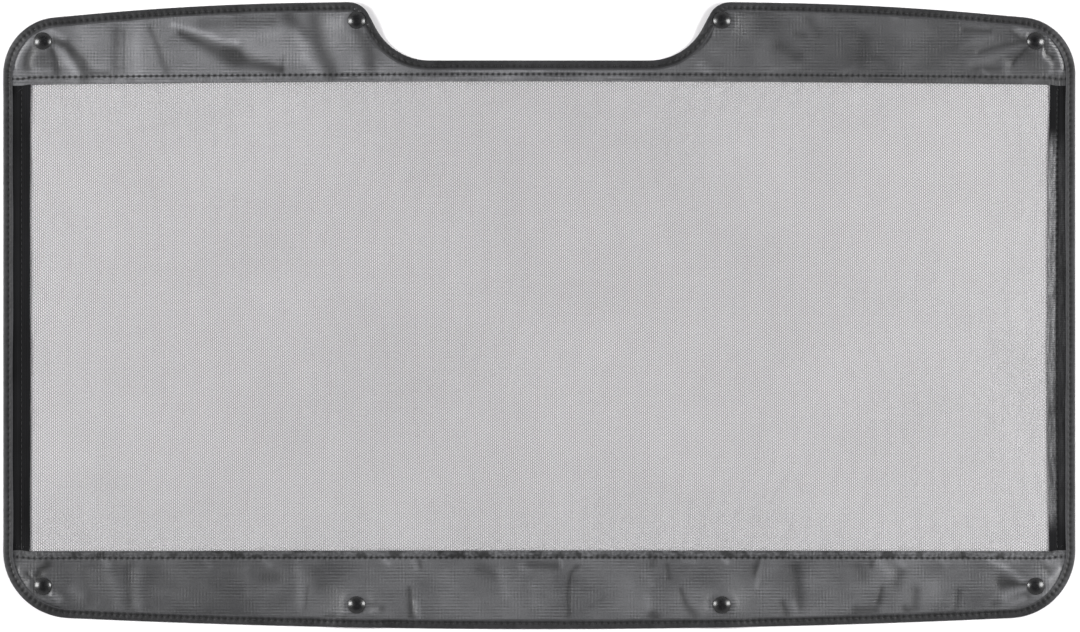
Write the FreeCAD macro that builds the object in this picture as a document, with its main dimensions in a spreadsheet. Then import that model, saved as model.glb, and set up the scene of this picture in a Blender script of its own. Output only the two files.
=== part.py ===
import FreeCAD, Part
import math
import os
import re
import Sketcher

# A mesh screen that fastens with press snaps, lying flat. Millimetres. +X runs along the long side,
# +Y towards the notched top edge and +Z out of the face. The origin is the middle of the box that
# holds the screen, at the level of the sockets' mouths, which is the level that the screen lies on.

SIZES = {
    # Outline of the whole panel. The right half is drawn and mirrored.
    "panel_half_width": 470.0,
    "panel_half_height": 274.8,
    "bottom_bow_radius": 8800.0,
    "bottom_corner_radius": 60.0,
    "top_bow_radius": 2500.0,
    "top_corner_radius": 50.0,
    # Notch in the top edge: a round shoulder, a straight flank, a round foot and a flat floor.
    "shoulder_offset": 167.2,
    "shoulder_radius": 20.0,
    "notch_slope": 62.0,
    "notch_foot_radius": 53.0,
    "notch_depth": 50.9,
    # Bands, mesh and side strips.
    "top_hem_level": 204.2,
    "bottom_hem_level": -206.2,
    "hem_turn": 12.0,
    "hem_stitch_offset": 6.2,
    "strip_inner_edge": 446.5,
    "strip_stitch_offset": 454.0,
    "cloth_thickness": 0.45,
    "mesh_thickness": 0.45,
    "strip_thickness": 0.45,
    # Binding tape, folded round the edge.
    "binding_width": 8.6,
    "tape_thickness": 0.6,
    "binding_stitch_inset": 5.0,
    "hem_thread_gap": 1.0,
    # Sewing thread.
    "thread_width": 0.5,
    "thread_height": 0.3,
    # Press snaps, 24 line.
    "outer_snap_offset": 435.0,
    "inner_snap_offset": 160.0,
    "top_outer_snap_level": 240.7,
    "top_inner_snap_level": 258.9,
    "bottom_outer_snap_level": -236.8,
    "bottom_inner_snap_level": -253.2,
    "cap_radius": 7.62,
    "cap_height": 3.2,
    "cap_rim_height": 0.55,
    "cap_rim_fillet": 0.35,
    "cap_wall": 0.45,
    "barrel_bore_radius": 2.0,
    "barrel_radius": 2.4,
    "barrel_clearance": 0.05,
    "barrel_roll_radius": 0.45,
    "socket_height": 3.6,
    "socket_plate": 0.6,
    "socket_flange_radius": 7.0,
    "socket_flange_depth": 0.8,
    "socket_body_radius": 6.4,
    "socket_mouth_fillet": 0.5,
    "socket_mouth_chamfer": 0.3,
    "socket_bore_radius": 5.0,
    "socket_bore_depth": 2.0,
    "socket_well_radius": 3.4,
    "spring_groove_radius": 5.9,
    "spring_groove_low": 0.75,
    "spring_groove_high": 1.6,
    "spring_ring_radius": 5.45,
    "spring_wire_radius": 0.36,
    "spring_arc": 305.0,
    "snap_relief_gap": 0.1,
}

# Levels of the layers, from the back of the screen to its face.
BACK_LEVEL = "socket_height"
MESH_LEVEL = "socket_height + cloth_thickness"
STRIP_LEVEL = MESH_LEVEL + " + mesh_thickness"
FACE_LEVEL = STRIP_LEVEL + " + strip_thickness"
FACE_TOP = FACE_LEVEL + " + cloth_thickness"

# Ranges that several pieces share: the whole width, and from under one hem to under the other.
WHOLE_WIDTH = ("-panel_half_width", "panel_half_width")
MESH_RUN = ("bottom_hem_level - hem_turn", "top_hem_level + hem_turn")

doc = FreeCAD.newDocument("mesh_screen")


def make_sheet():
    """Keep every driving dimension in one spreadsheet, under its name."""
    table = doc.addObject("Spreadsheet::Sheet", "Dimensions")
    for row, (alias, number) in enumerate(SIZES.items(), start=1):
        table.set("A%d" % row, alias)
        table.set("B%d" % row, str(number))
        table.setAlias("B%d" % row, alias)
    doc.recompute()
    return table


sheet = make_sheet()


def formula(text):
    """Turn the names of sheet cells in a formula into references to those cells."""
    return re.sub(r"[a-z_]+", lambda word: "Dimensions." + word[0] if word[0] in SIZES else word[0], text)


def value(text):
    """Work out a formula with the sheet's present numbers."""
    return float(sheet.evalExpression(formula(text)))


def bind(thing, name, text):
    """Bind one property of an object to a formula."""
    thing.setExpression(name, formula(text))


def origin_plane(body, role):
    """Find one of a body's own origin planes."""
    return [plane for plane in body.Origin.OriginFeatures if plane.Role == role][0]


def new_sketch(body, name, role):
    """Open a sketch on one of the body's origin planes."""
    sketch = body.newObject("Sketcher::SketchObject", name)
    sketch.AttachmentSupport = [(origin_plane(body, role), "")]
    sketch.MapMode = "FlatFace"
    return sketch


def dimension(sketch, kind, items, text):
    """Add one sketch dimension and bind it to a formula."""
    number = math.radians(value(text)) if kind == "Angle" else value(text)
    index = sketch.addConstraint(Sketcher.Constraint(kind, *items, number))
    sketch.setExpression("Constraints[%d]" % index, formula(text))


# ---------------------------------------------------------------------------------- panel outline

def half_outline(inset):
    """Lines and arcs of the panel's right half, moved inwards from the edge by inset."""
    half_width, half_height = value("panel_half_width"), value("panel_half_height")
    bow, corner = value("bottom_bow_radius"), value("bottom_corner_radius")
    top_bow, top_corner = value("top_bow_radius"), value("top_corner_radius")
    shoulder_x, shoulder = value("shoulder_offset"), value("shoulder_radius")
    foot, slope = value("notch_foot_radius"), math.radians(value("notch_slope"))
    floor = half_height - value("notch_depth")

    bow_centre = FreeCAD.Vector(0, bow - half_height, 0)
    corner_x = half_width - corner
    corner_centre = FreeCAD.Vector(corner_x, bow_centre.y - math.sqrt((bow - corner) ** 2 - corner_x ** 2), 0)
    bow_end = math.atan2(corner_centre.y - bow_centre.y, corner_centre.x)

    top_centre = FreeCAD.Vector(shoulder_x, half_height - top_bow, 0)
    top_x = half_width - top_corner
    reach = math.sqrt((top_bow - top_corner) ** 2 - (top_x - shoulder_x) ** 2)
    top_corner_centre = FreeCAD.Vector(top_x, top_centre.y + reach, 0)
    top_start = math.atan2(reach, top_x - shoulder_x)

    rise = (shoulder + foot) * (1 - math.cos(slope))
    flank = (value("notch_depth") - rise) / math.sin(slope)
    foot_x = shoulder_x - (shoulder + foot) * math.sin(slope) - flank * math.cos(slope)
    shoulder_centre = FreeCAD.Vector(shoulder_x, half_height - shoulder, 0)
    foot_centre = FreeCAD.Vector(foot_x, floor + foot, 0)

    def arc(centre, radius, start, end):
        return Part.ArcOfCircle(Part.Circle(centre, FreeCAD.Vector(0, 0, 1), radius), start, end)

    def line(start_x, start_y, end_x, end_y):
        return Part.LineSegment(FreeCAD.Vector(start_x, start_y, 0), FreeCAD.Vector(end_x, end_y, 0))

    quarter = math.pi / 2
    shoulder_arc = arc(shoulder_centre, shoulder - inset, quarter, quarter + slope)
    foot_arc = arc(foot_centre, foot + inset, -quarter, slope - quarter)
    flank_low, flank_high = foot_arc.EndPoint, shoulder_arc.EndPoint
    side_x = half_width - inset
    return [
        arc(bow_centre, bow - inset, -quarter, bow_end),
        arc(corner_centre, corner - inset, bow_end, 0),
        line(side_x, corner_centre.y, side_x, top_corner_centre.y),
        arc(top_corner_centre, top_corner - inset, 0, top_start),
        arc(top_centre, top_bow - inset, top_start, quarter),
        shoulder_arc,
        line(flank_low.x, flank_low.y, flank_high.x, flank_high.y),
        foot_arc,
        line(foot_x, floor - inset, 0, floor - inset),
        line(0, floor - inset, 0, inset - half_height),
    ]


def outline_sketch(body, inset, level):
    """The panel's right half outline, inset from the edge, as a fully constrained sketch."""
    sketch = new_sketch(body, "HalfOutline", "XY_Plane")
    bind(sketch, "AttachmentOffset.Base.z", level)
    sketch.addGeometry(half_outline(value(inset)), False)
    bow, corner, side, top_corner, top, shoulder, flank, foot, floor, middle = range(10)
    start, end, centre = 1, 2, 3
    joints = [
        (bow, end, corner, start), (corner, end, side, start), (side, end, top_corner, start),
        (top_corner, end, top, start), (top, end, shoulder, start), (shoulder, end, flank, end),
        (flank, start, foot, end), (foot, start, floor, start),
    ]
    for joint in joints:
        sketch.addConstraint(Sketcher.Constraint("Tangent", *joint))
    sketch.addConstraint(Sketcher.Constraint("Coincident", floor, end, middle, start))
    sketch.addConstraint(Sketcher.Constraint("Coincident", middle, end, bow, start))
    vertical_axis = -2
    for item in ((floor, end), (bow, start), (bow, centre)):
        sketch.addConstraint(Sketcher.Constraint("PointOnObject", *item, vertical_axis))
    sketch.addConstraint(Sketcher.Constraint("Vertical", side))
    sketch.addConstraint(Sketcher.Constraint("Horizontal", floor))
    origin = (-1, 1)
    dimension(sketch, "DistanceY", origin + (bow, start), f"{inset} - panel_half_height")
    dimension(sketch, "Radius", (bow,), f"bottom_bow_radius - ({inset})")
    dimension(sketch, "Radius", (corner,), f"bottom_corner_radius - ({inset})")
    dimension(sketch, "DistanceX", origin + (side, start), f"panel_half_width - ({inset})")
    dimension(sketch, "Radius", (top_corner,), f"top_corner_radius - ({inset})")
    dimension(sketch, "Radius", (top,), f"top_bow_radius - ({inset})")
    dimension(sketch, "DistanceX", origin + (top, centre), "shoulder_offset")
    dimension(sketch, "DistanceY", origin + (top, centre), "panel_half_height - top_bow_radius")
    dimension(sketch, "Radius", (shoulder,), f"shoulder_radius - ({inset})")
    dimension(sketch, "DistanceX", origin + (shoulder, centre), "shoulder_offset")
    dimension(sketch, "Angle", (flank,), "notch_slope")
    dimension(sketch, "Radius", (foot,), f"notch_foot_radius + {inset}")
    dimension(sketch, "DistanceY", origin + (floor, start), f"panel_half_height - notch_depth - ({inset})")
    return sketch


def panel_block(name, inset, low, high):
    """A block with the panel's outline, inset from the edge, between two levels."""
    body = doc.addObject("PartDesign::Body", name)
    sketch = outline_sketch(body, inset, low)
    pad = body.newObject("PartDesign::Pad", "HalfPad")
    pad.Profile = sketch
    bind(pad, "Length", f"({high}) - ({low})")
    mirrored = body.newObject("PartDesign::Mirrored", "WholePanel")
    mirrored.Originals = [pad]
    mirrored.MirrorPlane = (origin_plane(body, "YZ_Plane"), [""])
    body.Tip = mirrored
    return body


# ------------------------------------------------------------------------------- simple operations

def slab(name, x_range, y_range, z_range):
    """A box between two formulas along each axis."""
    box = doc.addObject("Part::Box", name)
    for size, axis, (low, high) in zip(("Length", "Width", "Height"), "xyz", (x_range, y_range, z_range)):
        bind(box, size, f"({high}) - ({low})")
        bind(box, "Placement.Base." + axis, low)
    return box


def peg(name, x, y, radius, low, high):
    """An upright cylinder at a snap's place."""
    cylinder = doc.addObject("Part::Cylinder", name)
    bind(cylinder, "Radius", radius)
    bind(cylinder, "Height", f"({high}) - ({low})")
    bind(cylinder, "Placement.Base.x", x)
    bind(cylinder, "Placement.Base.y", y)
    bind(cylinder, "Placement.Base.z", low)
    return cylinder


def common(name, base, tool):
    piece = doc.addObject("Part::Common", name)
    piece.Base, piece.Tool = base, tool
    return piece


def fused(name, base, tool):
    piece = doc.addObject("Part::Fuse", name)
    piece.Base, piece.Tool = base, tool
    return piece


def cut(name, base, tools):
    """Take each tool in turn away from the base."""
    for number, tool in enumerate(tools, start=1):
        piece = doc.addObject("Part::Cut", name if number == len(tools) else f"{name}_cut{number}")
        piece.Base, piece.Tool = base, tool
        base = piece
    return base


# ------------------------------------------------------------------------------------ snap places

def snap_places():
    """Name and place of each press snap: two along each end of both bands."""
    places = {}
    for edge in ("top", "bottom"):
        for side, sign in (("left", "-"), ("right", "")):
            for spot in ("outer", "inner"):
                name = f"{edge}_{side}_{spot}"
                places[name] = (f"{sign}{spot}_snap_offset", f"{edge}_{spot}_snap_level")
    return places


PLACES = snap_places()


def barrel_holes(edge):
    """Holes for the four snap barrels through one band."""
    spots = [place for place in PLACES.items() if place[0].startswith(edge)]
    low, high = f"({BACK_LEVEL}) - socket_plate", f"({FACE_TOP}) + cap_wall"
    return [peg("barrel_hole_" + name, x, y, "barrel_radius", low, high) for name, (x, y) in spots]


# -------------------------------------------------------------------------------------- soft parts

def mesh_panel(blank):
    """The mesh reaches under the hems and out to the fold of the binding."""
    area = slab("mesh_area", WHOLE_WIDTH, MESH_RUN, (MESH_LEVEL, STRIP_LEVEL))
    return common("mesh_panel", blank, area)


def band_face(edge, blank, y_range, turn_range):
    """Face cloth of a band, with its inner edge turned under between the side strips."""
    area = slab(edge + "_face_area", WHOLE_WIDTH, y_range, (FACE_LEVEL, FACE_TOP))
    cloth = common(edge + "_face_cloth", blank, area)
    turn_width = ("-strip_inner_edge", "strip_inner_edge")
    turn = slab(edge + "_hem_turn", turn_width, turn_range, (STRIP_LEVEL, FACE_LEVEL))
    hemmed = fused(edge + "_face_hemmed", cloth, turn)
    return cut(edge + "_band_face", hemmed, barrel_holes(edge))


def band_back(edge, blank, y_range):
    """Back cloth of a band, behind the mesh's edge."""
    area = slab(edge + "_back_area", WHOLE_WIDTH, y_range, (BACK_LEVEL, MESH_LEVEL))
    cloth = common(edge + "_back_cloth", blank, area)
    return cut(edge + "_band_back", cloth, barrel_holes(edge))


def side_strip(side, blank):
    """Webbing down one side, over the mesh, with its ends under the hems."""
    x_range = ("strip_inner_edge", "panel_half_width")
    if side == "left":
        x_range = ("-panel_half_width", "-strip_inner_edge")
    area = slab(side + "_strip_area", x_range, MESH_RUN, (STRIP_LEVEL, FACE_LEVEL))
    return common(side + "_side_strip", blank, area)


def snap_reliefs(kind):
    """Where the two inner top snaps press the binding flat."""
    low = f"({BACK_LEVEL}) - socket_height"
    high = f"({FACE_TOP}) + cap_height"
    reliefs = []
    for side in ("left", "right"):
        x, y = PLACES[f"top_{side}_inner"]
        reliefs.append(peg(f"{kind}_cap_relief_{side}", x, y, "cap_radius + snap_relief_gap", FACE_TOP, high))
        reliefs.append(peg(f"{kind}_socket_relief_{side}", x, y, "socket_flange_radius + snap_relief_gap",
                           low, BACK_LEVEL))
    return reliefs


def edge_binding(blank):
    """Tape folded round the whole edge, open over the middle of the panel."""
    low, high = f"({BACK_LEVEL}) - tape_thickness", f"({FACE_TOP}) + tape_thickness"
    outer = panel_block("binding_outer", "0", low, high)
    opening = panel_block("binding_opening", "binding_width", low, high)
    return cut("edge_binding", outer, [blank, opening] + snap_reliefs("tape"))


# ----------------------------------------------------------------------------------------- threads

def hem_thread(edge, run, y_middle, low):
    """A straight seam along a hem, between the two sides of the binding."""
    y_range = (f"{y_middle} - thread_width / 2", f"{y_middle} + thread_width / 2")
    reach = "panel_half_width - binding_width - hem_thread_gap"
    return slab(f"{edge}_hem_{run}_thread", (f"-({reach})", reach), y_range, (low, f"{low} + thread_height"))


def strip_thread(side, run, low):
    """A straight seam down a side strip, between the two hems."""
    x_range = ("strip_stitch_offset - thread_width / 2", "strip_stitch_offset + thread_width / 2")
    if side == "left":
        x_range = ("-strip_stitch_offset - thread_width / 2", "-strip_stitch_offset + thread_width / 2")
    y_range = ("bottom_hem_level", "top_hem_level")
    return slab(f"{side}_strip_{run}_thread", x_range, y_range, (low, f"{low} + thread_height"))


def binding_thread(run, low):
    """A seam all round the binding, broken where the inner top snaps cover it."""
    high = f"{low} + thread_height"
    outer = panel_block(f"binding_{run}_outer", "binding_stitch_inset - thread_width / 2", low, high)
    inner = panel_block(f"binding_{run}_inner", "binding_stitch_inset + thread_width / 2", low, high)
    return cut(f"binding_{run}_thread", outer, [inner] + snap_reliefs(run))


# ------------------------------------------------------------------------------------------- snaps

def profile_sketch(body, corners, arcs):
    """A closed half section in the XZ plane. corners are (radius, level) formulas in order; arcs maps
    the number of a side to the formulas of its centre and to its sense, 1 for anticlockwise."""
    sketch = new_sketch(body, "HalfSection", "XZ_Plane")
    points = [FreeCAD.Vector(value(x), value(z), 0) for x, z in corners]
    ends = {}
    for number, point in enumerate(points):
        following = points[(number + 1) % len(points)]
        if number in arcs:
            centre_x, centre_z, sense = arcs[number]
            centre = FreeCAD.Vector(value(centre_x), value(centre_z), 0)
            first, last = (point, following) if sense > 0 else (following, point)
            angles = [math.atan2(spot.y - centre.y, spot.x - centre.x) for spot in (first, last)]
            circle = Part.Circle(centre, FreeCAD.Vector(0, 0, 1), (point - centre).Length)
            sketch.addGeometry(Part.ArcOfCircle(circle, *angles), False)
            ends[number] = (1, 2) if sense > 0 else (2, 1)
        else:
            sketch.addGeometry(Part.LineSegment(point, following), False)
            ends[number] = (1, 2)
    origin = (-1, 1)
    for number, (x, z) in enumerate(corners):
        before = (number - 1) % len(corners)
        corner = (number, ends[number][0])
        sketch.addConstraint(Sketcher.Constraint("Coincident", before, ends[before][1], *corner))
        dimension(sketch, "DistanceX", origin + corner, x)
        dimension(sketch, "DistanceY", origin + corner, z)
    for number, (centre_x, _, _) in arcs.items():
        dimension(sketch, "DistanceX", origin + (number, 3), centre_x)
    return sketch


def turned(body, sketch):
    """Turn a half section once round the snap's axis."""
    turn = body.newObject("PartDesign::Revolution", "Turned")
    turn.Profile = sketch
    turn.ReferenceAxis = (sketch, ["V_Axis"])
    turn.Angle = 360
    body.Tip = turn
    return turn


def place_snap(piece, name, level):
    """Put a snap part on its axis at a level."""
    x, y = PLACES[name]
    bind(piece, "Placement.Base.x", x)
    bind(piece, "Placement.Base.y", y)
    bind(piece, "Placement.Base.z", level)


def dome_radius(width, height):
    """Formula for the radius of a dome of that half width and height."""
    return f"(({width}) ^ 2 + ({height}) ^ 2) / (2 * ({height}))"


def snap_cap(name):
    """Domed cap on the face, with a barrel through the cloth that is rolled inside the socket."""
    body = doc.addObject("PartDesign::Body", "snap_cap_" + name)
    reach = f"({FACE_TOP}) - ({BACK_LEVEL}) + socket_plate"
    roll_level = f"-({reach}) - barrel_roll_radius"
    roll_low = f"-({reach}) - 2 * barrel_roll_radius"
    roll_out = "barrel_radius + barrel_roll_radius"
    roll_in = "barrel_bore_radius + barrel_roll_radius"
    inner_radius = dome_radius("cap_radius - cap_wall", "cap_height - 2 * cap_wall")
    outer_radius = dome_radius("cap_radius", "cap_height - cap_rim_height")
    corners = [
        ("barrel_bore_radius", roll_level),
        ("barrel_bore_radius", "cap_wall"),
        ("cap_radius - cap_wall", "cap_wall"),
        ("0", "cap_height - cap_wall"),
        ("0", "cap_height"),
        ("cap_radius", "cap_rim_height"),
        ("cap_radius", "0"),
        ("barrel_radius", "0"),
        ("barrel_radius", f"-({reach})"),
        (roll_out, f"-({reach})"),
        (roll_out, roll_low),
        (roll_in, roll_low),
    ]
    arcs = {
        2: ("0", f"cap_height - cap_wall - ({inner_radius})", 1),
        4: ("0", f"cap_height - ({outer_radius})", -1),
        9: (roll_out, roll_level, -1),
        11: (roll_in, roll_level, -1),
    }
    turn = turned(body, profile_sketch(body, corners, arcs))
    doc.recompute()
    rim = [f"Edge{number}" for number, edge in enumerate(turn.Shape.Edges, start=1)
           if abs(edge.BoundBox.ZMin - value("cap_rim_height")) < 0.01 and edge.BoundBox.ZLength < 0.01]
    fillet = body.newObject("PartDesign::Fillet", "RimFillet")
    fillet.Base = (turn, rim)
    bind(fillet, "Radius", "cap_rim_fillet")
    body.Tip = fillet
    place_snap(body, name, FACE_TOP)
    return body


def snap_socket(name):
    """Flanged ring, open downwards, with a spring groove and a well for the rolled barrel."""
    body = doc.addObject("PartDesign::Body", "snap_socket_" + name)
    top = "socket_height"
    fillet = "socket_mouth_fillet"
    corners = [
        ("barrel_radius + barrel_clearance", f"{top} - socket_plate"),
        ("barrel_radius + barrel_clearance", top),
        ("socket_flange_radius", top),
        ("socket_flange_radius", f"{top} - socket_flange_depth"),
        ("socket_body_radius", f"{top} - socket_flange_depth"),
        ("socket_body_radius", fillet),
        (f"socket_body_radius - {fillet}", "0"),
        ("socket_bore_radius + socket_mouth_chamfer", "0"),
        ("socket_bore_radius", "socket_mouth_chamfer"),
        ("socket_bore_radius", "spring_groove_low"),
        ("spring_groove_radius", "spring_groove_low"),
        ("spring_groove_radius", "spring_groove_high"),
        ("socket_bore_radius", "spring_groove_high"),
        ("socket_bore_radius", "socket_bore_depth"),
        ("socket_well_radius", "socket_bore_depth"),
        ("socket_well_radius", f"{top} - socket_plate"),
    ]
    arcs = {5: (f"socket_body_radius - {fillet}", fillet, -1)}
    turned(body, profile_sketch(body, corners, arcs))
    place_snap(body, name, f"({BACK_LEVEL}) - socket_height")
    return body


def snap_spring(name):
    """Split wire ring in the socket's groove, drawn spread as it is while a stud's head passes."""
    ring = doc.addObject("Part::Torus", "snap_spring_" + name)
    bind(ring, "Radius1", "spring_ring_radius")
    bind(ring, "Radius2", "spring_wire_radius")
    bind(ring, "Angle3", "spring_arc")
    place_snap(ring, name, f"({BACK_LEVEL}) - socket_height + (spring_groove_low + spring_groove_high) / 2")
    return ring


# --------------------------------------------------------------------------------------- the model

def build():
    """Make every piece and return those that are written, by name."""
    blank = panel_block("cloth_blank", "tape_thickness", BACK_LEVEL, FACE_TOP)
    top_range = ("top_hem_level", "panel_half_height")
    bottom_range = ("-panel_half_height", "bottom_hem_level")
    top_turn = ("top_hem_level", "top_hem_level + hem_turn")
    bottom_turn = ("bottom_hem_level - hem_turn", "bottom_hem_level")
    pieces = [
        mesh_panel(blank),
        band_face("top", blank, top_range, top_turn),
        band_back("top", blank, top_range),
        band_face("bottom", blank, bottom_range, bottom_turn),
        band_back("bottom", blank, bottom_range),
        side_strip("left", blank),
        side_strip("right", blank),
        edge_binding(blank),
    ]
    for run, hem_low, tape_low, strip_low in (
        ("needle", FACE_TOP, f"{FACE_TOP} + tape_thickness", FACE_LEVEL),
        ("bobbin", f"{BACK_LEVEL} - thread_height", f"{BACK_LEVEL} - tape_thickness - thread_height",
         f"{MESH_LEVEL} - thread_height"),
    ):
        pieces.append(hem_thread("top", run, "top_hem_level + hem_stitch_offset", hem_low))
        pieces.append(hem_thread("bottom", run, "bottom_hem_level - hem_stitch_offset", hem_low))
        pieces.append(strip_thread("left", run, strip_low))
        pieces.append(strip_thread("right", run, strip_low))
        pieces.append(binding_thread(run, tape_low))
    for name in PLACES:
        pieces += [snap_cap(name), snap_socket(name), snap_spring(name)]
    return pieces


def check(pieces):
    """Stop if any object failed, or if a piece isn't one sound solid or more."""
    for thing in doc.Objects:
        if "Invalid" in thing.State or "Error" in thing.State:
            raise RuntimeError(f"{thing.Label} failed: {thing.State}")
    for piece in pieces:
        shape = piece.Shape
        if shape.isNull() or not shape.isValid() or not shape.Solids:
            raise RuntimeError(f"{piece.Label} has no sound solid")


def write(pieces):
    """Write each piece under its own name."""
    os.makedirs("parts", exist_ok=True)
    for piece in pieces:
        piece.Shape.exportStep(f"parts/{piece.Label}.step")
        print(f"{piece.Label:32s} {len(piece.Shape.Solids)} solid {piece.Shape.Volume:10.1f} mm3")


PIECES = build()
doc.recompute()
check(PIECES)
write(PIECES)
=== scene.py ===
import math

import bpy
import numpy as np
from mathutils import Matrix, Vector
from mathutils.kdtree import KDTree


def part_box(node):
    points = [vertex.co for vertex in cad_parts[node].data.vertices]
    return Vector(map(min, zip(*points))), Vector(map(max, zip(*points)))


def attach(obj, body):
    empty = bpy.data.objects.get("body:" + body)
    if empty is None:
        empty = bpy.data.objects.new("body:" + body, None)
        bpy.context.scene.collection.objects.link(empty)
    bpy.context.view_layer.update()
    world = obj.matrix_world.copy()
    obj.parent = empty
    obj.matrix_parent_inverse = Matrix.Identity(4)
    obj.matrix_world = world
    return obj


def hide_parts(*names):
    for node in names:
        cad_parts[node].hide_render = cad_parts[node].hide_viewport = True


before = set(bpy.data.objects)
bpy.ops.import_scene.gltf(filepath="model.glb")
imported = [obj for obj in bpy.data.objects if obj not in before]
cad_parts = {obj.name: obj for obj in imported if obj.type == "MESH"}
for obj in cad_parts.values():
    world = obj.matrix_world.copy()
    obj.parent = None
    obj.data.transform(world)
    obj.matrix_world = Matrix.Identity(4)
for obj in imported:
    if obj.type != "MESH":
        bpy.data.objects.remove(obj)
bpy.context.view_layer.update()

# The looks of a mesh screen that lies flat on its press snaps. Everything is worked out in
# millimetres, in the CAD frame, and turned into metres when a mesh is made.

MM = 0.001


# ---------------------------------------- sizes read from the frame

def node_box(node):
    """Lowest and highest corner of a CAD node, in millimetres."""
    low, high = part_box(node)
    return np.array(low) / MM, np.array(high) / MM


def snap_centres():
    """Place of each press snap, by name, from its socket."""
    centres = {}
    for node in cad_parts:
        if node.startswith("snap_socket_"):
            low, high = node_box(node)
            centres[node[len("snap_socket_"):]] = (low + high)[:2] / 2
    return centres


CAD_THREAD = 0.25            # radius of the CAD's threads
SNAPS = snap_centres()
HALF_WIDTH, HALF_HEIGHT = node_box("edge_binding")[1][:2]
TOP_HEM = node_box("top_band_back")[0][1]
BOTTOM_HEM = node_box("bottom_band_back")[1][1]
MESH_LOW, MESH_HIGH = node_box("mesh_panel")[0][1], node_box("mesh_panel")[1][1]
STRIP_EDGE = node_box("right_side_strip")[0][0]
SOCKET_TOP = node_box("top_band_back")[0][2]
CAP_BASE = node_box("top_band_face")[1][2]
CLOTH = node_box("top_band_back")[1][2] - SOCKET_TOP        # its thickness
HEM_STITCH = node_box("top_hem_needle_thread")[0][1] + CAD_THREAD - TOP_HEM
HEM_REACH = node_box("top_hem_needle_thread")[1][0]
STRIP_STITCH = node_box("right_strip_needle_thread")[0][0] + CAD_THREAD
BINDING_STITCH = HALF_WIDTH - node_box("binding_needle_thread")[1][0] + CAD_THREAD

# The outline's arcs, as in the CAD.
BOTTOM_BOW, BOTTOM_CORNER = 8800.0, 60.0
TOP_BOW, TOP_CORNER = 2500.0, 50.0
SHOULDER_X, SHOULDER, FOOT = 167.2, 20.0, 53.0
SLOPE, NOTCH_DEPTH = math.radians(62.0), 50.9

# Sewn details that the CAD solids leave plain, in millimetres.
BINDING_WIDTH = 8.6          # of the binding that shows on the face
TAPE, TAPE_CUT = 0.55, 19.0  # the binding's thickness, and its width before it is folded
HEM_TURN = 12.0              # width of cloth turned under at a hem
CUT_INSET = 0.8              # from the outline to the cut edges inside the binding
BAND_END = 467.0             # from the middle to the ends of the bands and webbing
STITCH, BINDING_PITCH = 5.08, 5.5
THREAD = 0.26                # the thread's radius
BARREL_HOLE = 3.0            # cloth nearer than this to a snap's middle is cut out
HOLE_EDGE, HOLE_PULL = 2.6, 1.6    # radius of the hole's rim, and how far round it the cloth is drawn in
NET_PITCH, NET_ANGLE = 2.05, math.radians(38.3)
WALE_PITCH = NET_PITCH / math.sin(NET_ANGLE) / 2
INLAY_RADIUS, WALE_RADIUS = 0.138, 0.18
NET_STEP = 22.0              # between the points of a net yarn
BAND_LEVEL = 200.0           # beyond this the edge belongs to a band, not to a side


def smooth(low, high, x):
    """Rises gently from 0 at low to 1 at high."""
    t = np.clip((np.asarray(x, float) - low) / (high - low), 0, 1)
    return t * t * (3 - 2 * t)


# ---------------------------------------- the outline

def bottom_corner():
    """Centre of the right bottom corner's arc."""
    x = HALF_WIDTH - BOTTOM_CORNER
    return x, BOTTOM_BOW - HALF_HEIGHT - math.sqrt((BOTTOM_BOW - BOTTOM_CORNER) ** 2 - x ** 2)


def top_corner():
    """Centre of the right top corner's arc, and the angle at which the arc meets the top's bow."""
    run = HALF_WIDTH - TOP_CORNER - SHOULDER_X
    reach = math.sqrt((TOP_BOW - TOP_CORNER) ** 2 - run ** 2)
    return (HALF_WIDTH - TOP_CORNER, HALF_HEIGHT - TOP_BOW + reach), math.atan2(reach, run)


def notch_foot():
    """Centre of the arc between the notch's right flank and its floor."""
    rise = (SHOULDER + FOOT) * (1 - math.cos(SLOPE))
    flank = (NOTCH_DEPTH - rise) / math.sin(SLOPE)
    x = SHOULDER_X - (SHOULDER + FOOT) * math.sin(SLOPE) - flank * math.cos(SLOPE)
    return x, HALF_HEIGHT - NOTCH_DEPTH + FOOT


def half_edge(step):
    """Points and inward normals along the right half of the edge, from the bottom to the notch."""
    points, normals = [], []

    def arc(centre, radius, start, end, inward):
        count = max(3, int(abs(end - start) * radius / step))
        turn = np.linspace(start, end, count)
        ray = np.stack([np.cos(turn), np.sin(turn)], 1)
        points.append(np.array(centre) + radius * ray)
        normals.append(inward * ray)

    def line(start, end, normal):
        start, end = np.array(start), np.array(end)
        count = max(3, int(np.linalg.norm(end - start) / step))
        points.append(start + np.linspace(0, 1, count)[:, None] * (end - start))
        normals.append(np.tile(normal, (count, 1)))

    quarter = math.pi / 2
    bow, corner = (0, BOTTOM_BOW - HALF_HEIGHT), bottom_corner()
    bow_end = math.atan2(corner[1] - bow[1], corner[0])
    (corner_x, corner_y), top_start = top_corner()
    foot, floor = notch_foot(), HALF_HEIGHT - NOTCH_DEPTH
    inwards = (math.sin(SLOPE), -math.cos(SLOPE))

    arc(bow, BOTTOM_BOW, -quarter, bow_end, -1)
    arc(corner, BOTTOM_CORNER, bow_end, 0, -1)
    line((HALF_WIDTH, corner[1]), (HALF_WIDTH, corner_y), (-1, 0))
    arc((corner_x, corner_y), TOP_CORNER, 0, top_start, -1)
    arc((SHOULDER_X, HALF_HEIGHT - TOP_BOW), TOP_BOW, top_start, quarter, -1)
    arc((SHOULDER_X, HALF_HEIGHT - SHOULDER), SHOULDER, quarter, quarter + SLOPE, -1)
    line(points[-1][-1], np.array(foot) + FOOT * np.array(inwards), inwards)
    arc(foot, FOOT, SLOPE - quarter, -quarter, 1)
    line((foot[0], floor), (0, floor), (0, -1))
    return np.concatenate(points), np.concatenate(normals)


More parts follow.
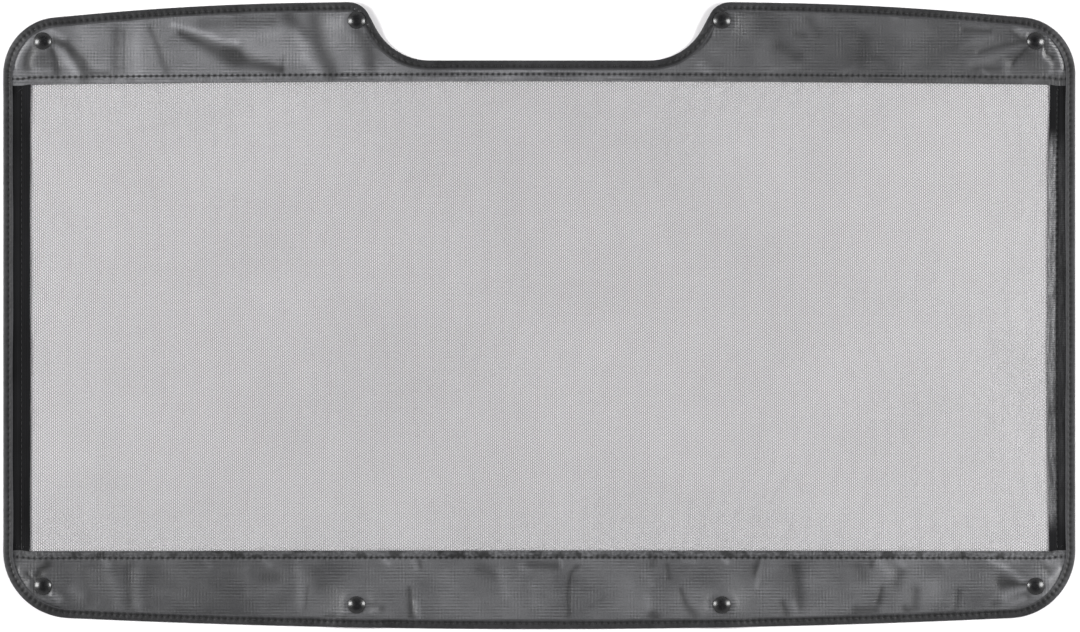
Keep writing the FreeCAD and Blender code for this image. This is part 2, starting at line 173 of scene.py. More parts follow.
def whole_edge(step=0.4):
    """The closed edge: points, inward normals and length so far, from the middle of the bottom."""
    points, normals = half_edge(step)
    flip = np.array([-1, 1])
    points = np.concatenate([points, points[::-1] * flip])
    normals = np.concatenate([normals, normals[::-1] * flip])
    gap = np.linalg.norm(np.diff(points, axis=0), axis=1)
    keep = np.concatenate([[True], gap > 1e-6])
    points, normals = points[keep], normals[keep]
    length = np.concatenate([[0], np.cumsum(np.linalg.norm(np.diff(points, axis=0), axis=1))])
    return points, normals, length


EDGE_POINTS, EDGE_NORMALS, EDGE_LENGTH = whole_edge()
ROUND = EDGE_LENGTH[-1]


def edge_at(length):
    """Point and inward normal at some lengths along the edge."""
    length = np.mod(length, ROUND)
    point = np.stack([np.interp(length, EDGE_LENGTH, EDGE_POINTS[:, i]) for i in (0, 1)], -1)
    normal = np.stack([np.interp(length, EDGE_LENGTH, EDGE_NORMALS[:, i]) for i in (0, 1)], -1)
    return point, normal / np.linalg.norm(normal, axis=-1, keepdims=True)


def edge_tree():
    """A search tree of the edge's points."""
    tree = KDTree(len(EDGE_POINTS))
    for number, (x, y) in enumerate(EDGE_POINTS):
        tree.insert((x, y, 0), number)
    tree.balance()
    return tree


TREE = edge_tree()
FAR_INSIDE = 30.0


def inset_of(x, y):
    """Distance from the edge of each point, up to what FAR_INSIDE says."""
    x, y = np.broadcast_arrays(np.asarray(x, float), np.asarray(y, float))
    found = [TREE.find((px, py, 0))[2] for px, py in zip(x.ravel(), y.ravel())]
    return np.minimum(np.array(found).reshape(x.shape), FAR_INSIDE)


def outline_level(x, inset, top):
    """Level of the top or bottom edge, moved inwards, at some places along the long side."""
    moved = EDGE_POINTS + inset * EDGE_NORMALS
    chosen = moved[(1 if top else -1) * moved[:, 1] > BAND_LEVEL]
    order = np.argsort(chosen[:, 0], kind="stable")
    return np.interp(x, chosen[order, 0], chosen[order, 1])


# ---------------------------------------- making meshes

def put(name, data):
    """Puts a new object into the scene."""
    thing = bpy.data.objects.new(name, data)
    bpy.context.scene.collection.objects.link(thing)
    return thing


def flat_square(name, half, level):
    """A square of floor, in metres."""
    mesh = bpy.data.meshes.new(name)
    corners = [(-half, -half, level), (half, -half, level), (half, half, level), (-half, half, level)]
    mesh.from_pydata(corners, [], [(0, 1, 2, 3)])
    return put(name, mesh)


def cell_faces(kept):
    """A face for each cell of a grid of points that is kept."""
    columns = kept.shape[1] + 1
    row, column = np.nonzero(kept)
    corner = row * columns + column
    return np.stack([corner, corner + 1, corner + columns + 1, corner + columns], 1)


def add_object(name, points, faces, material, **values):
    """A smooth mesh object from points in millimetres, with a value for each point by name."""
    mesh = bpy.data.meshes.new(name)
    mesh.from_pydata((np.asarray(points) * MM).tolist(), [], faces)
    mesh.validate()
    mesh.polygons.foreach_set("use_smooth", np.ones(len(mesh.polygons), bool))
    mesh.set_sharp_from_angle(angle=math.radians(55))
    for title, numbers in values.items():
        layer = mesh.attributes.new(title, "FLOAT", "POINT")
        layer.data.foreach_set("value", np.asarray(numbers, np.float32).ravel())
    mesh.materials.append(material)
    return put(name, mesh)


def grid_normals(middle):
    """Unit normals of a grid of points."""
    along = np.gradient(middle, axis=1)
    up = np.gradient(middle, axis=0)
    normal = np.cross(along, up)
    return normal / np.maximum(np.linalg.norm(normal, axis=-1, keepdims=True), 1e-9)


def rim_faces(kept, columns, offset):
    """Faces that close the gap between the two sides of a sheet round every kept cell's edge."""
    rows, cols = kept.shape
    padded = np.zeros((rows + 2, cols + 2), bool)
    padded[1:-1, 1:-1] = kept
    faces = []
    for shift, (first, second) in (((-1, 0), ((0, 0), (0, 1))), ((1, 0), ((1, 1), (1, 0))),
                                   ((0, -1), ((1, 0), (0, 0))), ((0, 1), ((0, 1), (1, 1)))):
        beside = padded[1 + shift[0]:rows + 1 + shift[0], 1 + shift[1]:cols + 1 + shift[1]]
        row, col = np.nonzero(kept & ~beside)
        a = (row + first[0]) * columns + col + first[1]
        b = (row + second[0]) * columns + col + second[1]
        faces.append(np.stack([b, a, a + offset, b + offset], 1))
    return np.concatenate(faces)


def thick_sheet(name, middle, thickness, material, kept=None, **values):
    """A closed sheet of cloth round a grid of middle points. Cells that aren't kept are holes."""
    rows, columns = middle.shape[:2]
    kept = np.ones((rows - 1, columns - 1), bool) if kept is None else kept
    lift = grid_normals(middle) * thickness / 2
    points = np.concatenate([(middle + lift).reshape(-1, 3), (middle - lift).reshape(-1, 3)])
    offset = rows * columns
    top = cell_faces(kept)
    faces = np.concatenate([top, top[:, ::-1] + offset, rim_faces(kept, columns, offset)])
    used, faces = np.unique(faces, return_inverse=True)
    values = {title: np.tile(numbers.ravel(), 2)[used] for title, numbers in values.items()}
    return add_object(name, points[used], faces.reshape(-1, 4).tolist(), material, **values)


def open_barrel_holes(x, y):
    """Says which cells of a grid of cloth to keep round the snaps' barrels, and rounds the holes."""
    kept = np.ones((len(x) - 1, x.shape[1] - 1), bool)
    for centre in SNAPS.values():
        dx, dy = x - centre[0], y - centre[1]
        far = np.hypot(dx, dy)
        inside = far < BARREL_HOLE
        cells = inside[:-1, :-1] | inside[1:, :-1] | inside[:-1, 1:] | inside[1:, 1:]
        middle = np.hypot((dx[:-1, :-1] + dx[1:, 1:]) / 2, (dy[:-1, :-1] + dy[1:, 1:]) / 2)
        kept &= ~(cells & (middle < BARREL_HOLE))
        pull = (far < BARREL_HOLE + HOLE_PULL) & (far > 0.1)
        wanted = np.where(pull, np.maximum(HOLE_EDGE, HOLE_EDGE + (far - BARREL_HOLE) * 0.8), far)
        x[:] = np.where(pull, centre[0] + dx / np.maximum(far, 1e-6) * wanted, x)
        y[:] = np.where(pull, centre[1] + dy / np.maximum(far, 1e-6) * wanted, y)
    return kept


# ---------------------------------------- how the screen lies

def snap_distance(x, y):
    """Distance to the nearest press snap."""
    x, y = np.asarray(x, float), np.asarray(y, float)
    near = np.full(np.broadcast(x, y).shape, 1e3)
    for centre in SNAPS.values():
        near = np.minimum(near, np.hypot(x - centre[0], y - centre[1]))
    return near


LAY_STEP = 10.0
LAY_X = np.arange(-49, 50) * LAY_STEP
LAY_Y = np.arange(-29, 30) * LAY_STEP
SIM_SCALE = 10.0             # simulated this much larger than life, for gaps as thin as cloth
SIM_FRAMES = 55
HELD = 9.5                   # cloth nearer than this to a snap's middle is held still
AT_SNAPS = SOCKET_TOP + 0.03


def cloth_grid():
    """A flat grid of cloth at the level of the sockets' tops, held at the snaps."""
    x, y = np.meshgrid(LAY_X, LAY_Y)
    z = SOCKET_TOP + np.random.default_rng(7).normal(0, 0.12, x.shape)
    points = np.stack([x, y, z], -1).reshape(-1, 3) * MM * SIM_SCALE
    faces = cell_faces(np.ones((len(LAY_Y) - 1, len(LAY_X) - 1), bool))
    mesh = bpy.data.meshes.new("lay_grid")
    mesh.from_pydata(points.tolist(), [], faces.tolist())
    grid = put("lay_grid", mesh)
    held = grid.vertex_groups.new(name="held")
    held.add(np.nonzero(snap_distance(x, y).ravel() < HELD)[0].tolist(), 1.0, "REPLACE")
    return grid


def sim_floor():
    """A floor for the simulated cloth to land on."""
    floor = flat_square("lay_floor", 8.0, 0.0)
    floor.modifiers.new("Collision", "COLLISION")
    floor.collision.thickness_outer = 0.004
    floor.collision.cloth_friction = 20.0
    return floor


def lay_by_cloth():
    """Lets a sheet of cloth sink between the snaps under gravity and returns its heights."""
    grid, floor = cloth_grid(), sim_floor()
    cloth = grid.modifiers.new("Cloth", "CLOTH")
    setup = cloth.settings
    setup.quality = 6
    setup.mass = 0.35
    setup.air_damping = 3.0
    setup.tension_stiffness = setup.compression_stiffness = 25.0
    setup.shear_stiffness = 12.0
    setup.bending_stiffness = 6.0
    setup.tension_damping = setup.compression_damping = 15.0
    setup.vertex_group_mass = "held"
    setup.shrink_min = setup.shrink_max = -0.0035
    cloth.collision_settings.use_collision = True
    cloth.collision_settings.distance_min = 0.004
    cloth.collision_settings.use_self_collision = False
    cloth.point_cache.frame_start, cloth.point_cache.frame_end = 1, SIM_FRAMES
    scene = bpy.context.scene
    scene.frame_start, scene.frame_end = 1, SIM_FRAMES
    for number in range(1, SIM_FRAMES + 1):
        scene.frame_set(number)
    shown = grid.evaluated_get(bpy.context.evaluated_depsgraph_get())
    heights = np.array([vertex.co.z for vertex in shown.data.vertices])
    for thing in (grid, floor):
        bpy.data.objects.remove(thing)
    scene.frame_set(1)
    return heights.reshape(len(LAY_Y), len(LAY_X)) / MM / SIM_SCALE


def lay_grid():
    """Heights of the underside on a grid, kept near the floor and at the sockets' tops."""
    heights = lay_by_cloth()
    heights = np.clip(heights - max(0.0, np.percentile(heights, 3) - 0.3), 0.2, 6.0)
    x, y = np.meshgrid(LAY_X, LAY_Y)
    near = 1 - smooth(10.0, 26.0, snap_distance(x, y))
    return heights * (1 - near) + AT_SNAPS * near


LAY = lay_grid()


def spline_weights(place, start, count):
    """Cubic B-spline weights and first sample of each place on an even grid."""
    spot = np.clip((np.asarray(place, float) - start) / LAY_STEP, 1, count - 2.001)
    first = np.floor(spot).astype(int)
    t = spot - first
    weights = [(1 - t) ** 3, 3 * t ** 3 - 6 * t ** 2 + 4, -3 * t ** 3 + 3 * t ** 2 + 3 * t + 1, t ** 3]
    return first - 1, [weight / 6 for weight in weights]


def lay_at(x, y):
    """Height of the underside of the screen, smoothly read from the grid."""
    x, y = np.broadcast_arrays(np.asarray(x, float), np.asarray(y, float))
    column, across = spline_weights(x, LAY_X[0], len(LAY_X))
    row, up = spline_weights(y, LAY_Y[0], len(LAY_Y))
    total = np.zeros(x.shape)
    for j in range(4):
        for i in range(4):
            total += up[j] * across[i] * LAY[row + j, column + i]
    near = 1 - smooth(9.0, 16.0, snap_distance(x, y))
    return np.maximum(total, 0.15) * (1 - near) + AT_SNAPS * near


# ---------------------------------------- layers of the cloth

def top_hem(x):
    """Level of the top band's hem edge, which bows up a little in the middle."""
    bow = 1.5 - 3.0 * np.minimum(np.abs(x) / STRIP_EDGE, 1) ** 2
    return TOP_HEM + bow - 1.3 * smooth(STRIP_EDGE - 2, STRIP_EDGE + 9, np.abs(x))


def bottom_hem(x):
    """Level of the bottom band's hem edge."""
    bow = 0.4 * np.cos(np.asarray(x) / 190.0)
    return BOTTOM_HEM + bow + 1.1 * smooth(STRIP_EDGE - 2, STRIP_EDGE + 9, np.abs(x))


# Creases in the face cloth, listed by the snap they are measured from: width at the start,
# width at the end, strength (above 0 stands up and gets a painted highlight, below 0 sinks and gets painted
# shade), then the x and y of each point in millimetres from the snap.
CREASES = {
    "top_left_outer": [
        (3.4, 6.6, -0.8, 10, -1, 20, -3, 27, -11, 34, -19, 36, -29),
        (2.6, 4.6, 0.5, 11, -4, 18, -11, 25, -21, 30, -29), (2.8, 3.8, -0.62, 8, -8, 11, -16, 12, -27),
        (2.8, 4.0, -0.7, -7, -5, -13, -14, -14, -22), (9, 9, -0.42, 0, -13, 0, -20),
        (3, 6, 0.2, -13, 3, -23, -9, -25, -26), (2.5, 2.5, 0.25, -8, -25, 7, -25),
        (2.4, 2.4, 0.3, 8, 9, 18, 2), (5, 5, -0.34, 65, 8, 63, -28), (1.5, 1.5, -0.2, 72, 10, 71, -28),
        (6, 6, 0.3, 82, 16, 84, -28), (3, 4, -0.3, 94, 12, 101, -4, 108, -26),
        (2.6, 2.6, -0.4, 43, -28, 56, -28), (3.0, 8.0, -0.68, 121, 7, 132, 2, 147, -5, 167, -13),
        (8.0, 3.6, -0.66, 167, -13, 182, -19, 208, -25),
        (2.0, 3.2, 0.5, 114, 15, 132, 10, 147, 5, 157, 1, 170, -1), (6.5, 6.5, -0.28, 140, 16, 200, 17),
        (7, 7, 0.2, 176, 4, 206, 8), (8, 8, 0.2, 182, -9, 228, -13),
        (7, 5, -0.42, 215, 22, 222, 14, 229, 7), (7.5, 7, -0.5, 238, 21, 241, -1, 250, -19, 252, -28),
        (5.5, 5.5, 0.3, 223, 8, 232, -16, 240, -26), (7, 7, 0.15, 256, 14, 262, -26),
        (1.8, 1.8, -0.3, 209, -26, 211, -14), (9, 9, 0.14, 38, -2, 50, -20), (9, 9, -0.13, 20, 8, 44, -10)],
    "top_left_inner": [
        (4.6, 8, -0.48, 1, -9, 5, -16, 11, -25, 14, -37), (5, 5, 0.22, 0, -34, 2, -46),
        (4, 4, 0.24, 18, -38, 22, -46), (4, 4, -0.2, 60, -44, 84, -47), (5, 5, 0.2, 108, -45, 132, -47),
        (4, 4, -0.16, 168, -46, 190, -47)],
    "top_right_inner": [
        (5, 5, 0.42, -19, -39, -12, -46), (2.2, 2.2, 0.18, 8, 6, 30, 4), (7, 7, 0.12, 12, -12, 36, -18),
        (5.5, 5.5, -0.3, 50, -22, 66, -31), (2.6, 2.6, 0.22, 44, -43, 68, -41),
        (2.6, 2.6, 0.2, 57, 4, 67, 1), (2.6, 2.6, -0.25, 64, -11, 72, -13), (4, 4, -0.2, 76, 0, 84, -12),
        (7, 7, -0.22, 124, -18, 121, -30), (3.6, 3.6, 0.2, 130, -38, 140, -42),
        (3.4, 3.4, 0.24, 107, -44, 115, -42), (2.6, 2.6, 0.25, 143, 7, 152, 3)],
    "top_right_outer": [
        (3.0, 2.4, 0.62, -17, 12, -11, 8, -8, 5), (2.2, 2.2, 0.5, -14, 10, -3, 10),
        (2.0, 2.0, -0.3, -22, 9, -14, 3, -10, 0), (2.4, 3.4, 0.55, 9, 3, 14, -2, 19, -8, 22, -18, 22, -27),
        (1.7, 2.2, -0.6, 7, -5, 9, -12, 14, -14), (1.8, 2.6, 0.5, 4, -9, 7, -15, 12, -20, 13, -27),
        (1.6, 1.6, 0.4, 13, -27, 22, -26), (7, 7, -0.22, -7, -11, 1, -26),
        (2.0, 2.4, -0.45, -9, -8, -17, -15, -20, -19),
        (2.2, 5.0, 0.3, -12, -4, -28, -10, -43, -15, -58, -19),
        (2.0, 2.4, -0.34, -12, -1, -26, -3, -40, -6, -50, -10), (3.4, 3.4, 0.26, -40, 3, -58, 0, -66, -4),
        (1.7, 1.7, -0.42, -40, 9, -64, 10), (2.6, 2.6, 0.2, -43, 13, -66, 17),
        (3.4, 3.4, 0.42, -28, -18, -24, -28), (1.8, 1.8, 0.45, -47, -25, -42, -29),
        (3.6, 3.6, -0.26, -53, -23, -33, -24), (11, 11, -0.16, -86, 10, -93, -13),
        (6, 6, 0.1, -110, 14, -118, -22)],
    "bottom_left_outer": [
        (2.6, 3.4, -0.85, -4, 8, -1, 14, 4, 19), (1.6, 1.6, -0.5, -13, 11, -8, 6),
        (2.6, 3.2, 0.8, 8, -7, 14, -12), (1.7, 1.7, 0.35, -5, -10, 7, -13),
        (3.4, 3.4, 0.3, -16, -2, -10, 3), (4.4, 4.4, 0.22, -20, 14, -15, 22),
        (4.4, 4.4, 0.32, 26, -4, 33, -8), (4, 6, 0.26, 54, 23, 60, 8, 66, -8, 69, -21),
        (4, 4, 0.3, 54, 22, 57, 18), (4.2, 4.2, 0.34, 84, 23, 85, -21), (3.6, 3.6, -0.16, 74, 18, 76, -20),
        (5, 5, -0.16, 36, 12, 42, -12), (8, 8, -0.16, 98, 11, 114, 2), (3.2, 3.2, 0.4, 142, 23, 147, 17),
        (3.4, 3.4, 0.15, 179, 15, 181, -8), (3.0, 3.0, 0.34, 194, 22, 199, 18),
        (4.2, 4.2, 0.34, 223, 21, 226, 6, 227, -18), (1.6, 1.6, -0.26, 232, -2, 230, -20),
        (7.5, 7.5, 0.2, 210, 4, 195, -13, 187, -24), (5.5, 5.5, -0.24, 194, 8, 208, 6),
        (6.5, 6.5, -0.2, 239, 11, 244, 1)],
    "bottom_left_inner": [
        (2.4, 2.4, 0.34, -8, -5, -15, -9), (1.4, 1.4, -0.35, -27, -10, -10, -9),
        (2.4, 2.4, 0.32, 12, -6, 17, -3), (2.2, 3.0, -0.34, 12, 0, 22, -4),
        (2.4, 2.4, 0.45, 24, 39, 28, 36), (2.6, 3.4, -0.5, 46, 13, 47, 2, 48, -11),
        (2.6, 2.6, 0.4, 52, 2, 55, -10), (2.4, 2.4, 0.34, 49, 38, 52, 32),
        (1.4, 1.4, -0.34, 55, 39, 56, 32), (6, 6, -0.26, 110, 30, 120, 26),
        (4.4, 4.4, 0.2, 127, 30, 132, 7), (4.2, 4.2, -0.34, 152, 35, 174, 34),
        (3.4, 3.4, 0.24, 144, 33, 150, 30), (4.4, 4.4, 0.16, 154, 17, 156, 2),
        (1.8, 1.8, 0.34, 179, 39, 180, 34), (2.4, 2.8, -0.38, 193, 33, 188, 28, 185, 12, 186, -10)],
    "bottom_right_inner": [
        (3.4, 3.4, -0.3, -60, 40, -61, 35), (3.4, 3.4, 0.22, -66, 25, -62, 18),
        (3.4, 3.4, 0.24, -66, 6, -64, -4), (4.4, 4.4, -0.5, -61, -9, -58, -12),
        (2.2, 2.2, -0.26, -48, 35, -46, 23), (2.6, 4.0, -0.46, -36, 13, -31, -1, -23, -10),
        (2.6, 2.6, 0.32, -33, 38, -23, 37), (2.0, 2.0, 0.5, 2, 40, 5, 37),
        (3.2, 3.2, 0.2, -14, -3, -10, -6), (2.4, 4.2, -0.5, 33, 40, 29, 28),
        (1.7, 1.7, 0.34, 35, 39, 30, 15), (7, 7, 0.14, 47, 35, 42, 28),
        (5, 5, -0.34, 65, 33, 67, 13, 68, -2), (3.4, 3.4, -0.45, 53, 1, 57, -9),
        (2.4, 2.4, 0.24, 62, 1, 65, -5), (6, 6, -0.22, 120, 33, 124, 25),
        (4.2, 4.2, -0.5, 117, -6, 134, -5), (2.4, 2.4, -0.34, 132, 39, 131, 33),
        (5, 5, 0.36, 138, 38, 145, 28), (3.4, 3.4, 0.32, 154, 40, 159, 35)],
    "bottom_right_outer": [
        (3.6, 2.6, 0.52, -40, 23, -30, 18, -19, 11, -12, 5), (4, 4, 0.24, -25, 21, -17, 23),
        (1.2, 6.0, -0.72, -9, 1.5, -18, 2, -30, 3), (1.8, 5.0, 0.38, -10, -3, -20, -6, -27, -10),
        (2.6, 2.6, 0.38, -20, -15, -11, -12), (2.4, 2.4, -0.26, -9, -6, -6, -9),
        (2.6, 4.0, 0.38, 10, 4, 20, 15, 17, 23), (2.2, 2.2, 0.42, 15, -3, 8, -8),
        (3.0, 3.0, -0.32, 7, 17, 12, 11), (2.0, 2.0, 0.42, 8, 24, 12, 21),
        (3.4, 3.4, -0.26, -37, -17, -32, -15), (2.4, 3.4, -0.48, -135, -3, -138, -14),
        (5, 5, -0.3, -119, 11, -122, 2), (4.6, 4.6, -0.38, -105, -5, -106, -19),
        (3.2, 3.2, -0.5, -115, -20, -112, -22), (5, 5, 0.15, -90, 2, -87, -13),
        (3.2, 3.2, 0.34, -83, 23, -78, 19), (3.0, 3.0, -0.34, -68, -5, -70, -21)],
}


def line_distance(x, y, points):
    """Distance to a broken line, and how far along it the nearest point is, from 0 to 1."""
    points = np.array(points, float)
    lengths = np.linalg.norm(np.diff(points, axis=0), axis=1)
    best, along = np.full(x.shape, 1e3), np.zeros(x.shape)
    before = 0.0
    for start, end, length in zip(points[:-1], points[1:], lengths):
        way = (end - start) / length
        t = np.clip((x - start[0]) * way[0] + (y - start[1]) * way[1], 0, length)
        gap = np.hypot(x - start[0] - t * way[0], y - start[1] - t * way[1])
        nearer = gap < best
        along = np.where(nearer, (before + t) / lengths.sum(), along)
        best = np.minimum(best, gap)
        before += length
    return best, along


def creases(x, y):
    """Strength of the creases at each point: above 0 raised, below 0 sunk."""
    total = np.zeros(x.shape)
    for name, lines in CREASES.items():
        for first, last, strength, *numbers in lines:
            line = np.array(numbers, float).reshape(-1, 2) + SNAPS[name]
            reach = 2.6 * max(first, last)
            low, high = line.min(0) - reach, line.max(0) + reach
            chosen = (x > low[0]) & (x < high[0]) & (y > low[1]) & (y < high[1])
            if chosen.any():
                gap, along = line_distance(x[chosen], y[chosen], line)
                width = first + (last - first) * along
                total[chosen] += strength * np.exp(-(gap / width) ** 2)
    return np.clip(total, -0.9, 0.8)


def ripples(x, y):
    """Slight unevenness of coated cloth that has been folded and rolled."""
    long = np.sin(x / 19.0 + 1.7 * np.sin(y / 33.0)) * np.sin(y / 24.0 + 0.9 * np.sin(x / 61.0))
    short = np.sin(x / 6.3 + 2.1 * np.sin(y / 11.0)) * np.sin(y / 7.9 + 1.3 * np.sin(x / 17.0))
    return 0.16 * long + 0.05 * short


def cloth_painted_sheen_and_shade(x, y):
    """Painted sheen and shade on the coating: uneven along the bands, a painted highlight on raised
    creases, painted shade in sunk ones.

    The top band's painted sheen is palest at the left and over the notch, the bottom band darkest at the
    left.
    """
    slope = np.sin(np.clip(x / 300.0, -1, 1) * math.pi / 2)
    upper = 1.03 - 0.465 * slope + 0.55 * np.exp(-(x / 100.0) ** 2)
    lower = 0.61 + 0.35 * smooth(-280, -110, x)
    fold = creases(x, y)
    streak = 0.06 * np.sin(x / 7.5 + 1.4 * np.sin(x / 31.0)) * np.sin(x / 43.0 + y / 60.0)
    # Raised creases get a painted highlight, sunk ones a stronger painted shade.
    fold = np.where(fold > 0, 1.15, 1.9) * fold
    return np.where(y > 0, upper, lower) * np.exp(fold + streak)


def leg(x, y):
    """Thickness of one leg of the binding, pressed thinner beside a snap."""
    return TAPE - 0.15 * (1 - smooth(9.0, 15.0, snap_distance(x, y)))


UNDER, OVER_BACK, OVER_NET, OVER_TURN, OVER_FACE = range(5)


def layers(x, y):
    """Levels between the layers at each point, from under the back cloth to over the face cloth.

    Between the net and the face lies the turned-under hem, or at the sides the webbing.
    """
    x, y = np.broadcast_arrays(np.asarray(x, float), np.asarray(y, float))
    inset, near = inset_of(x, y), snap_distance(x, y)
    depth = np.maximum(y - top_hem(x), bottom_hem(x) - y)    # from a hem's edge into its band
    under_net = MESH_HIGH - TOP_HEM                          # how far the net runs into a band

    # How much of each layer there is at a point, from 0 to 1.
    bound = 1 - smooth(8.2, 11.5, inset)
    band = smooth(-2.5, 0.2, depth)
    netting = 1 - smooth(under_net - 0.5, under_net + 3.5, depth)
    turned = smooth(-1.0, 0.0, depth) * (1 - smooth(HEM_TURN - 0.5, HEM_TURN + 3.0, depth))
    strip = smooth(STRIP_EDGE - 0.6, STRIP_EDGE, np.abs(x)) * netting
    levels = [lay_at(x, y) + leg(x, y) * bound]
    for share in (band, netting, np.maximum(turned, strip)):
        levels.append(levels[-1] + CLOTH * share)

    # The face cloth is free to stand up between the hem's turn and the binding, away from the caps.
    loose = smooth(8.6, 12.0, inset) * smooth(HEM_TURN - 2, HEM_TURN + 6, depth)
    spare = CAP_BASE - SOCKET_TOP - 2 * CLOTH - 0.05
    puff = spare * loose * (1 - 0.15 * smooth(8.5, 30.0, near))
    rise = loose * smooth(7.8, 12.0, near) * np.maximum(1.45 * creases(x, y) + ripples(x, y), -puff)
    rise += 0.35 * smooth(0, 1.5, depth) * (1 - loose) * ripples(x, y) * smooth(9, 13, inset)
    levels.append(levels[-1] + CLOTH * band + puff + rise)
    return levels


def seam(across, along, pitch, depth, line=0.12):
    """How far a row of stitches pulls the cloth in, and how much painted shade it gets at the holes and
    along its groove.
    """
    phase = np.mod(along / pitch + 0.5, 1.0) - 0.5
    groove = depth * np.exp(-(across / 0.9) ** 2)
    hole = np.exp(-((across / 1.25) ** 2 + (phase * pitch / 1.5) ** 2))
    pucker = 0.45 * depth * np.cos(2 * math.pi * phase) * np.exp(-(across / 3.2) ** 2)
    return -groove - 1.4 * depth * hole - pucker, np.maximum(hole, line * np.exp(-(across / 0.75) ** 2))


# ---------------------------------------- materials

class Value:
    """A number or colour that varies over a material: a socket of its node tree."""

    def __init__(self, nodes, socket):
        self.nodes, self.socket = nodes, socket

    def __add__(self, other):
        return self.nodes.math("ADD", self, other)

    def __mul__(self, other):
        return self.nodes.math("MULTIPLY", self, other)

    __radd__, __rmul__ = __add__, __mul__

    def __rsub__(self, other):
        return self.nodes.math("SUBTRACT", other, self)

    def span(self, low, high, to_low=0.0, to_high=1.0, **settings):
        """Rescales the value, held between its two ends."""
        return self.nodes.add("MapRange", {0: self, 1: low, 2: high, 3: to_low, 4: to_high}, **settings)


class Nodes:
    """A node tree in the making, of a material or of the sky."""

    def __init__(self, owner, last):
        owner.use_nodes = True
        self.owner, self.tree = owner, owner.node_tree
        self.last = self.tree.nodes[last]

    def plug(self, source, target):
        """Sets an input to a fixed number or colour, or links a value to it."""
        if isinstance(source, Value):
            self.tree.links.new(source.socket, target)
        else:
            target.default_value = source

    def add(self, kind, inputs, output=0, **settings):
        """Adds a node, fills its inputs by name or number, and returns one of its outputs."""
        node = self.tree.nodes.new("ShaderNode" + kind)
        for name, setting in settings.items():
            setattr(node, name, setting)
        for key, source in inputs.items():
            self.plug(source, node.inputs[key])
        return Value(self, node.outputs[output])

    def math(self, kind, *sources):
        return self.add("Math", dict(enumerate(sources)), operation=kind)

    def finish(self, **values):
        """Plugs the finished values into the last node and returns what the tree belongs to."""
        for name, source in values.items():
            self.plug(source, self.last.inputs[name.replace("_", " ")])
        return self.owner


class Paint(Nodes):
    """A procedural material in the making."""

    def __init__(self, name):
        super().__init__(bpy.data.materials.new(name), "Principled BSDF")
        self.place = self.add("TexCoord", {}, "Object")
        self.x, self.y, self.z = (self.add("SeparateXYZ", {0: self.place}, axis) for axis in "XYZ")

    def wave(self, axis, pitch, bend=0.0):
        """A sine of one coordinate, from -1 to 1, with that pitch in millimetres."""
        return self.math("SINE", axis * (2 * math.pi / (pitch * MM)) + bend)

    def noise(self, size, detail=2.0, rough=0.5, stretch=(1.0, 1.0, 1.0)):
        """Soft noise from 0 to 1 whose blobs are about that many millimetres across."""
        place = self.add("Mapping", {"Vector": self.place, "Scale": stretch})
        return self.add("TexNoise", {"Vector": place, "Scale": 1.0 / (size * MM), "Detail": detail,
                                     "Roughness": rough}, "Fac")

    def attribute(self, name):
        return self.add("Attribute", {}, "Fac", attribute_name=name)

    def blend(self, amount, first, second):
        """Mixes two colours."""
        first, second = ((*c, 1.0) if isinstance(c, tuple) else c for c in (first, second))
        return self.add("Mix", {"Factor": amount, 6: first, 7: second}, 2, data_type="RGBA")

    def scale(self, colour, amount):
        """Makes a colour that many times brighter."""
        return self.add("VectorMath", {0: colour, "Scale": amount}, operation="SCALE")

    def bump(self, height, depth):
        """Bump from a height, with the depth in millimetres that a height of 1 stands for."""
        return self.add("Bump", {"Height": height, "Distance": depth * MM, "Strength": 1.0})


def coated_cloth():
    """Black coated cloth whose scrim shows through, with painted sheen and shade along the bands and on its
    creases.
    """
    paint = Paint("coated_cloth")
    bend = 3.0 * paint.noise(36, 3, 0.6)
    uneven = paint.noise(3.2, 2, 0.5, (0.6, 1.4, 1.0)).span(0.34, 0.62, 0.25, 1.2)
    ribs_show = paint.noise(22, 3, 0.55, (0.7, 1.6, 1.0)).span(0.42, 0.6, 0.05, 1.7)
    lines_show = paint.noise(19, 3, 0.55, (1.7, 0.8, 1.0)).span(0.47, 0.64, 0.05, 1.5)
    ribs = paint.wave(paint.y, 2.82, bend) * uneven * ribs_show
    lines = paint.wave(paint.x, 2.9, bend) * uneven * lines_show
    yarns = paint.wave(paint.x, 0.72) * paint.wave(paint.y, 0.72)
    patches = paint.noise(48, 3, 0.6, (0.8, 1.0, 1.0))
    grain = paint.noise(1.1, 3, 0.6)
    hem = paint.attribute("hem")
    mottle = paint.noise(2.6).span(0.32, 0.68, -1, 1) * hem
    tone = ribs * 0.22 + 0.46 + lines * 0.16 + mottle * 0.5
    tone += patches.span(0.3, 0.7, -0.26, 0.26) + grain.span(0.3, 0.7, -0.2, 0.2)
    colour = paint.blend(tone, (0.040, 0.0402, 0.0425), (0.112, 0.1125, 0.1185))
    stained = paint.noise(13).span(0.5, 0.62, 0.1, 0.78) * hem
    # The 'tone' attribute is painted sheen and shade along the bands and on the creases; stains darken the
    # hem.
    strength = (1.0 - stained) * paint.attribute("tone")
    colour = paint.scale(colour, paint.math("MAXIMUM", strength, 0.1))
    # Painted shade: nearly black in the seam's needle holes and a little along its groove.
    lit = paint.attribute("shade").span(0.05, 0.6, 1.0, 0.0)
    colour = paint.blend(lit, (0.002, 0.002, 0.0025), colour)
    height = ribs * 0.6 + lines * 0.45 + yarns * 0.28 + grain * 0.35 + mottle * 0.8
    return paint.finish(Base_Color=colour, Roughness=patches.span(0.3, 0.7, 0.38, 0.52),
                        Normal=paint.bump(height, 0.07), Specular_IOR_Level=0.6)


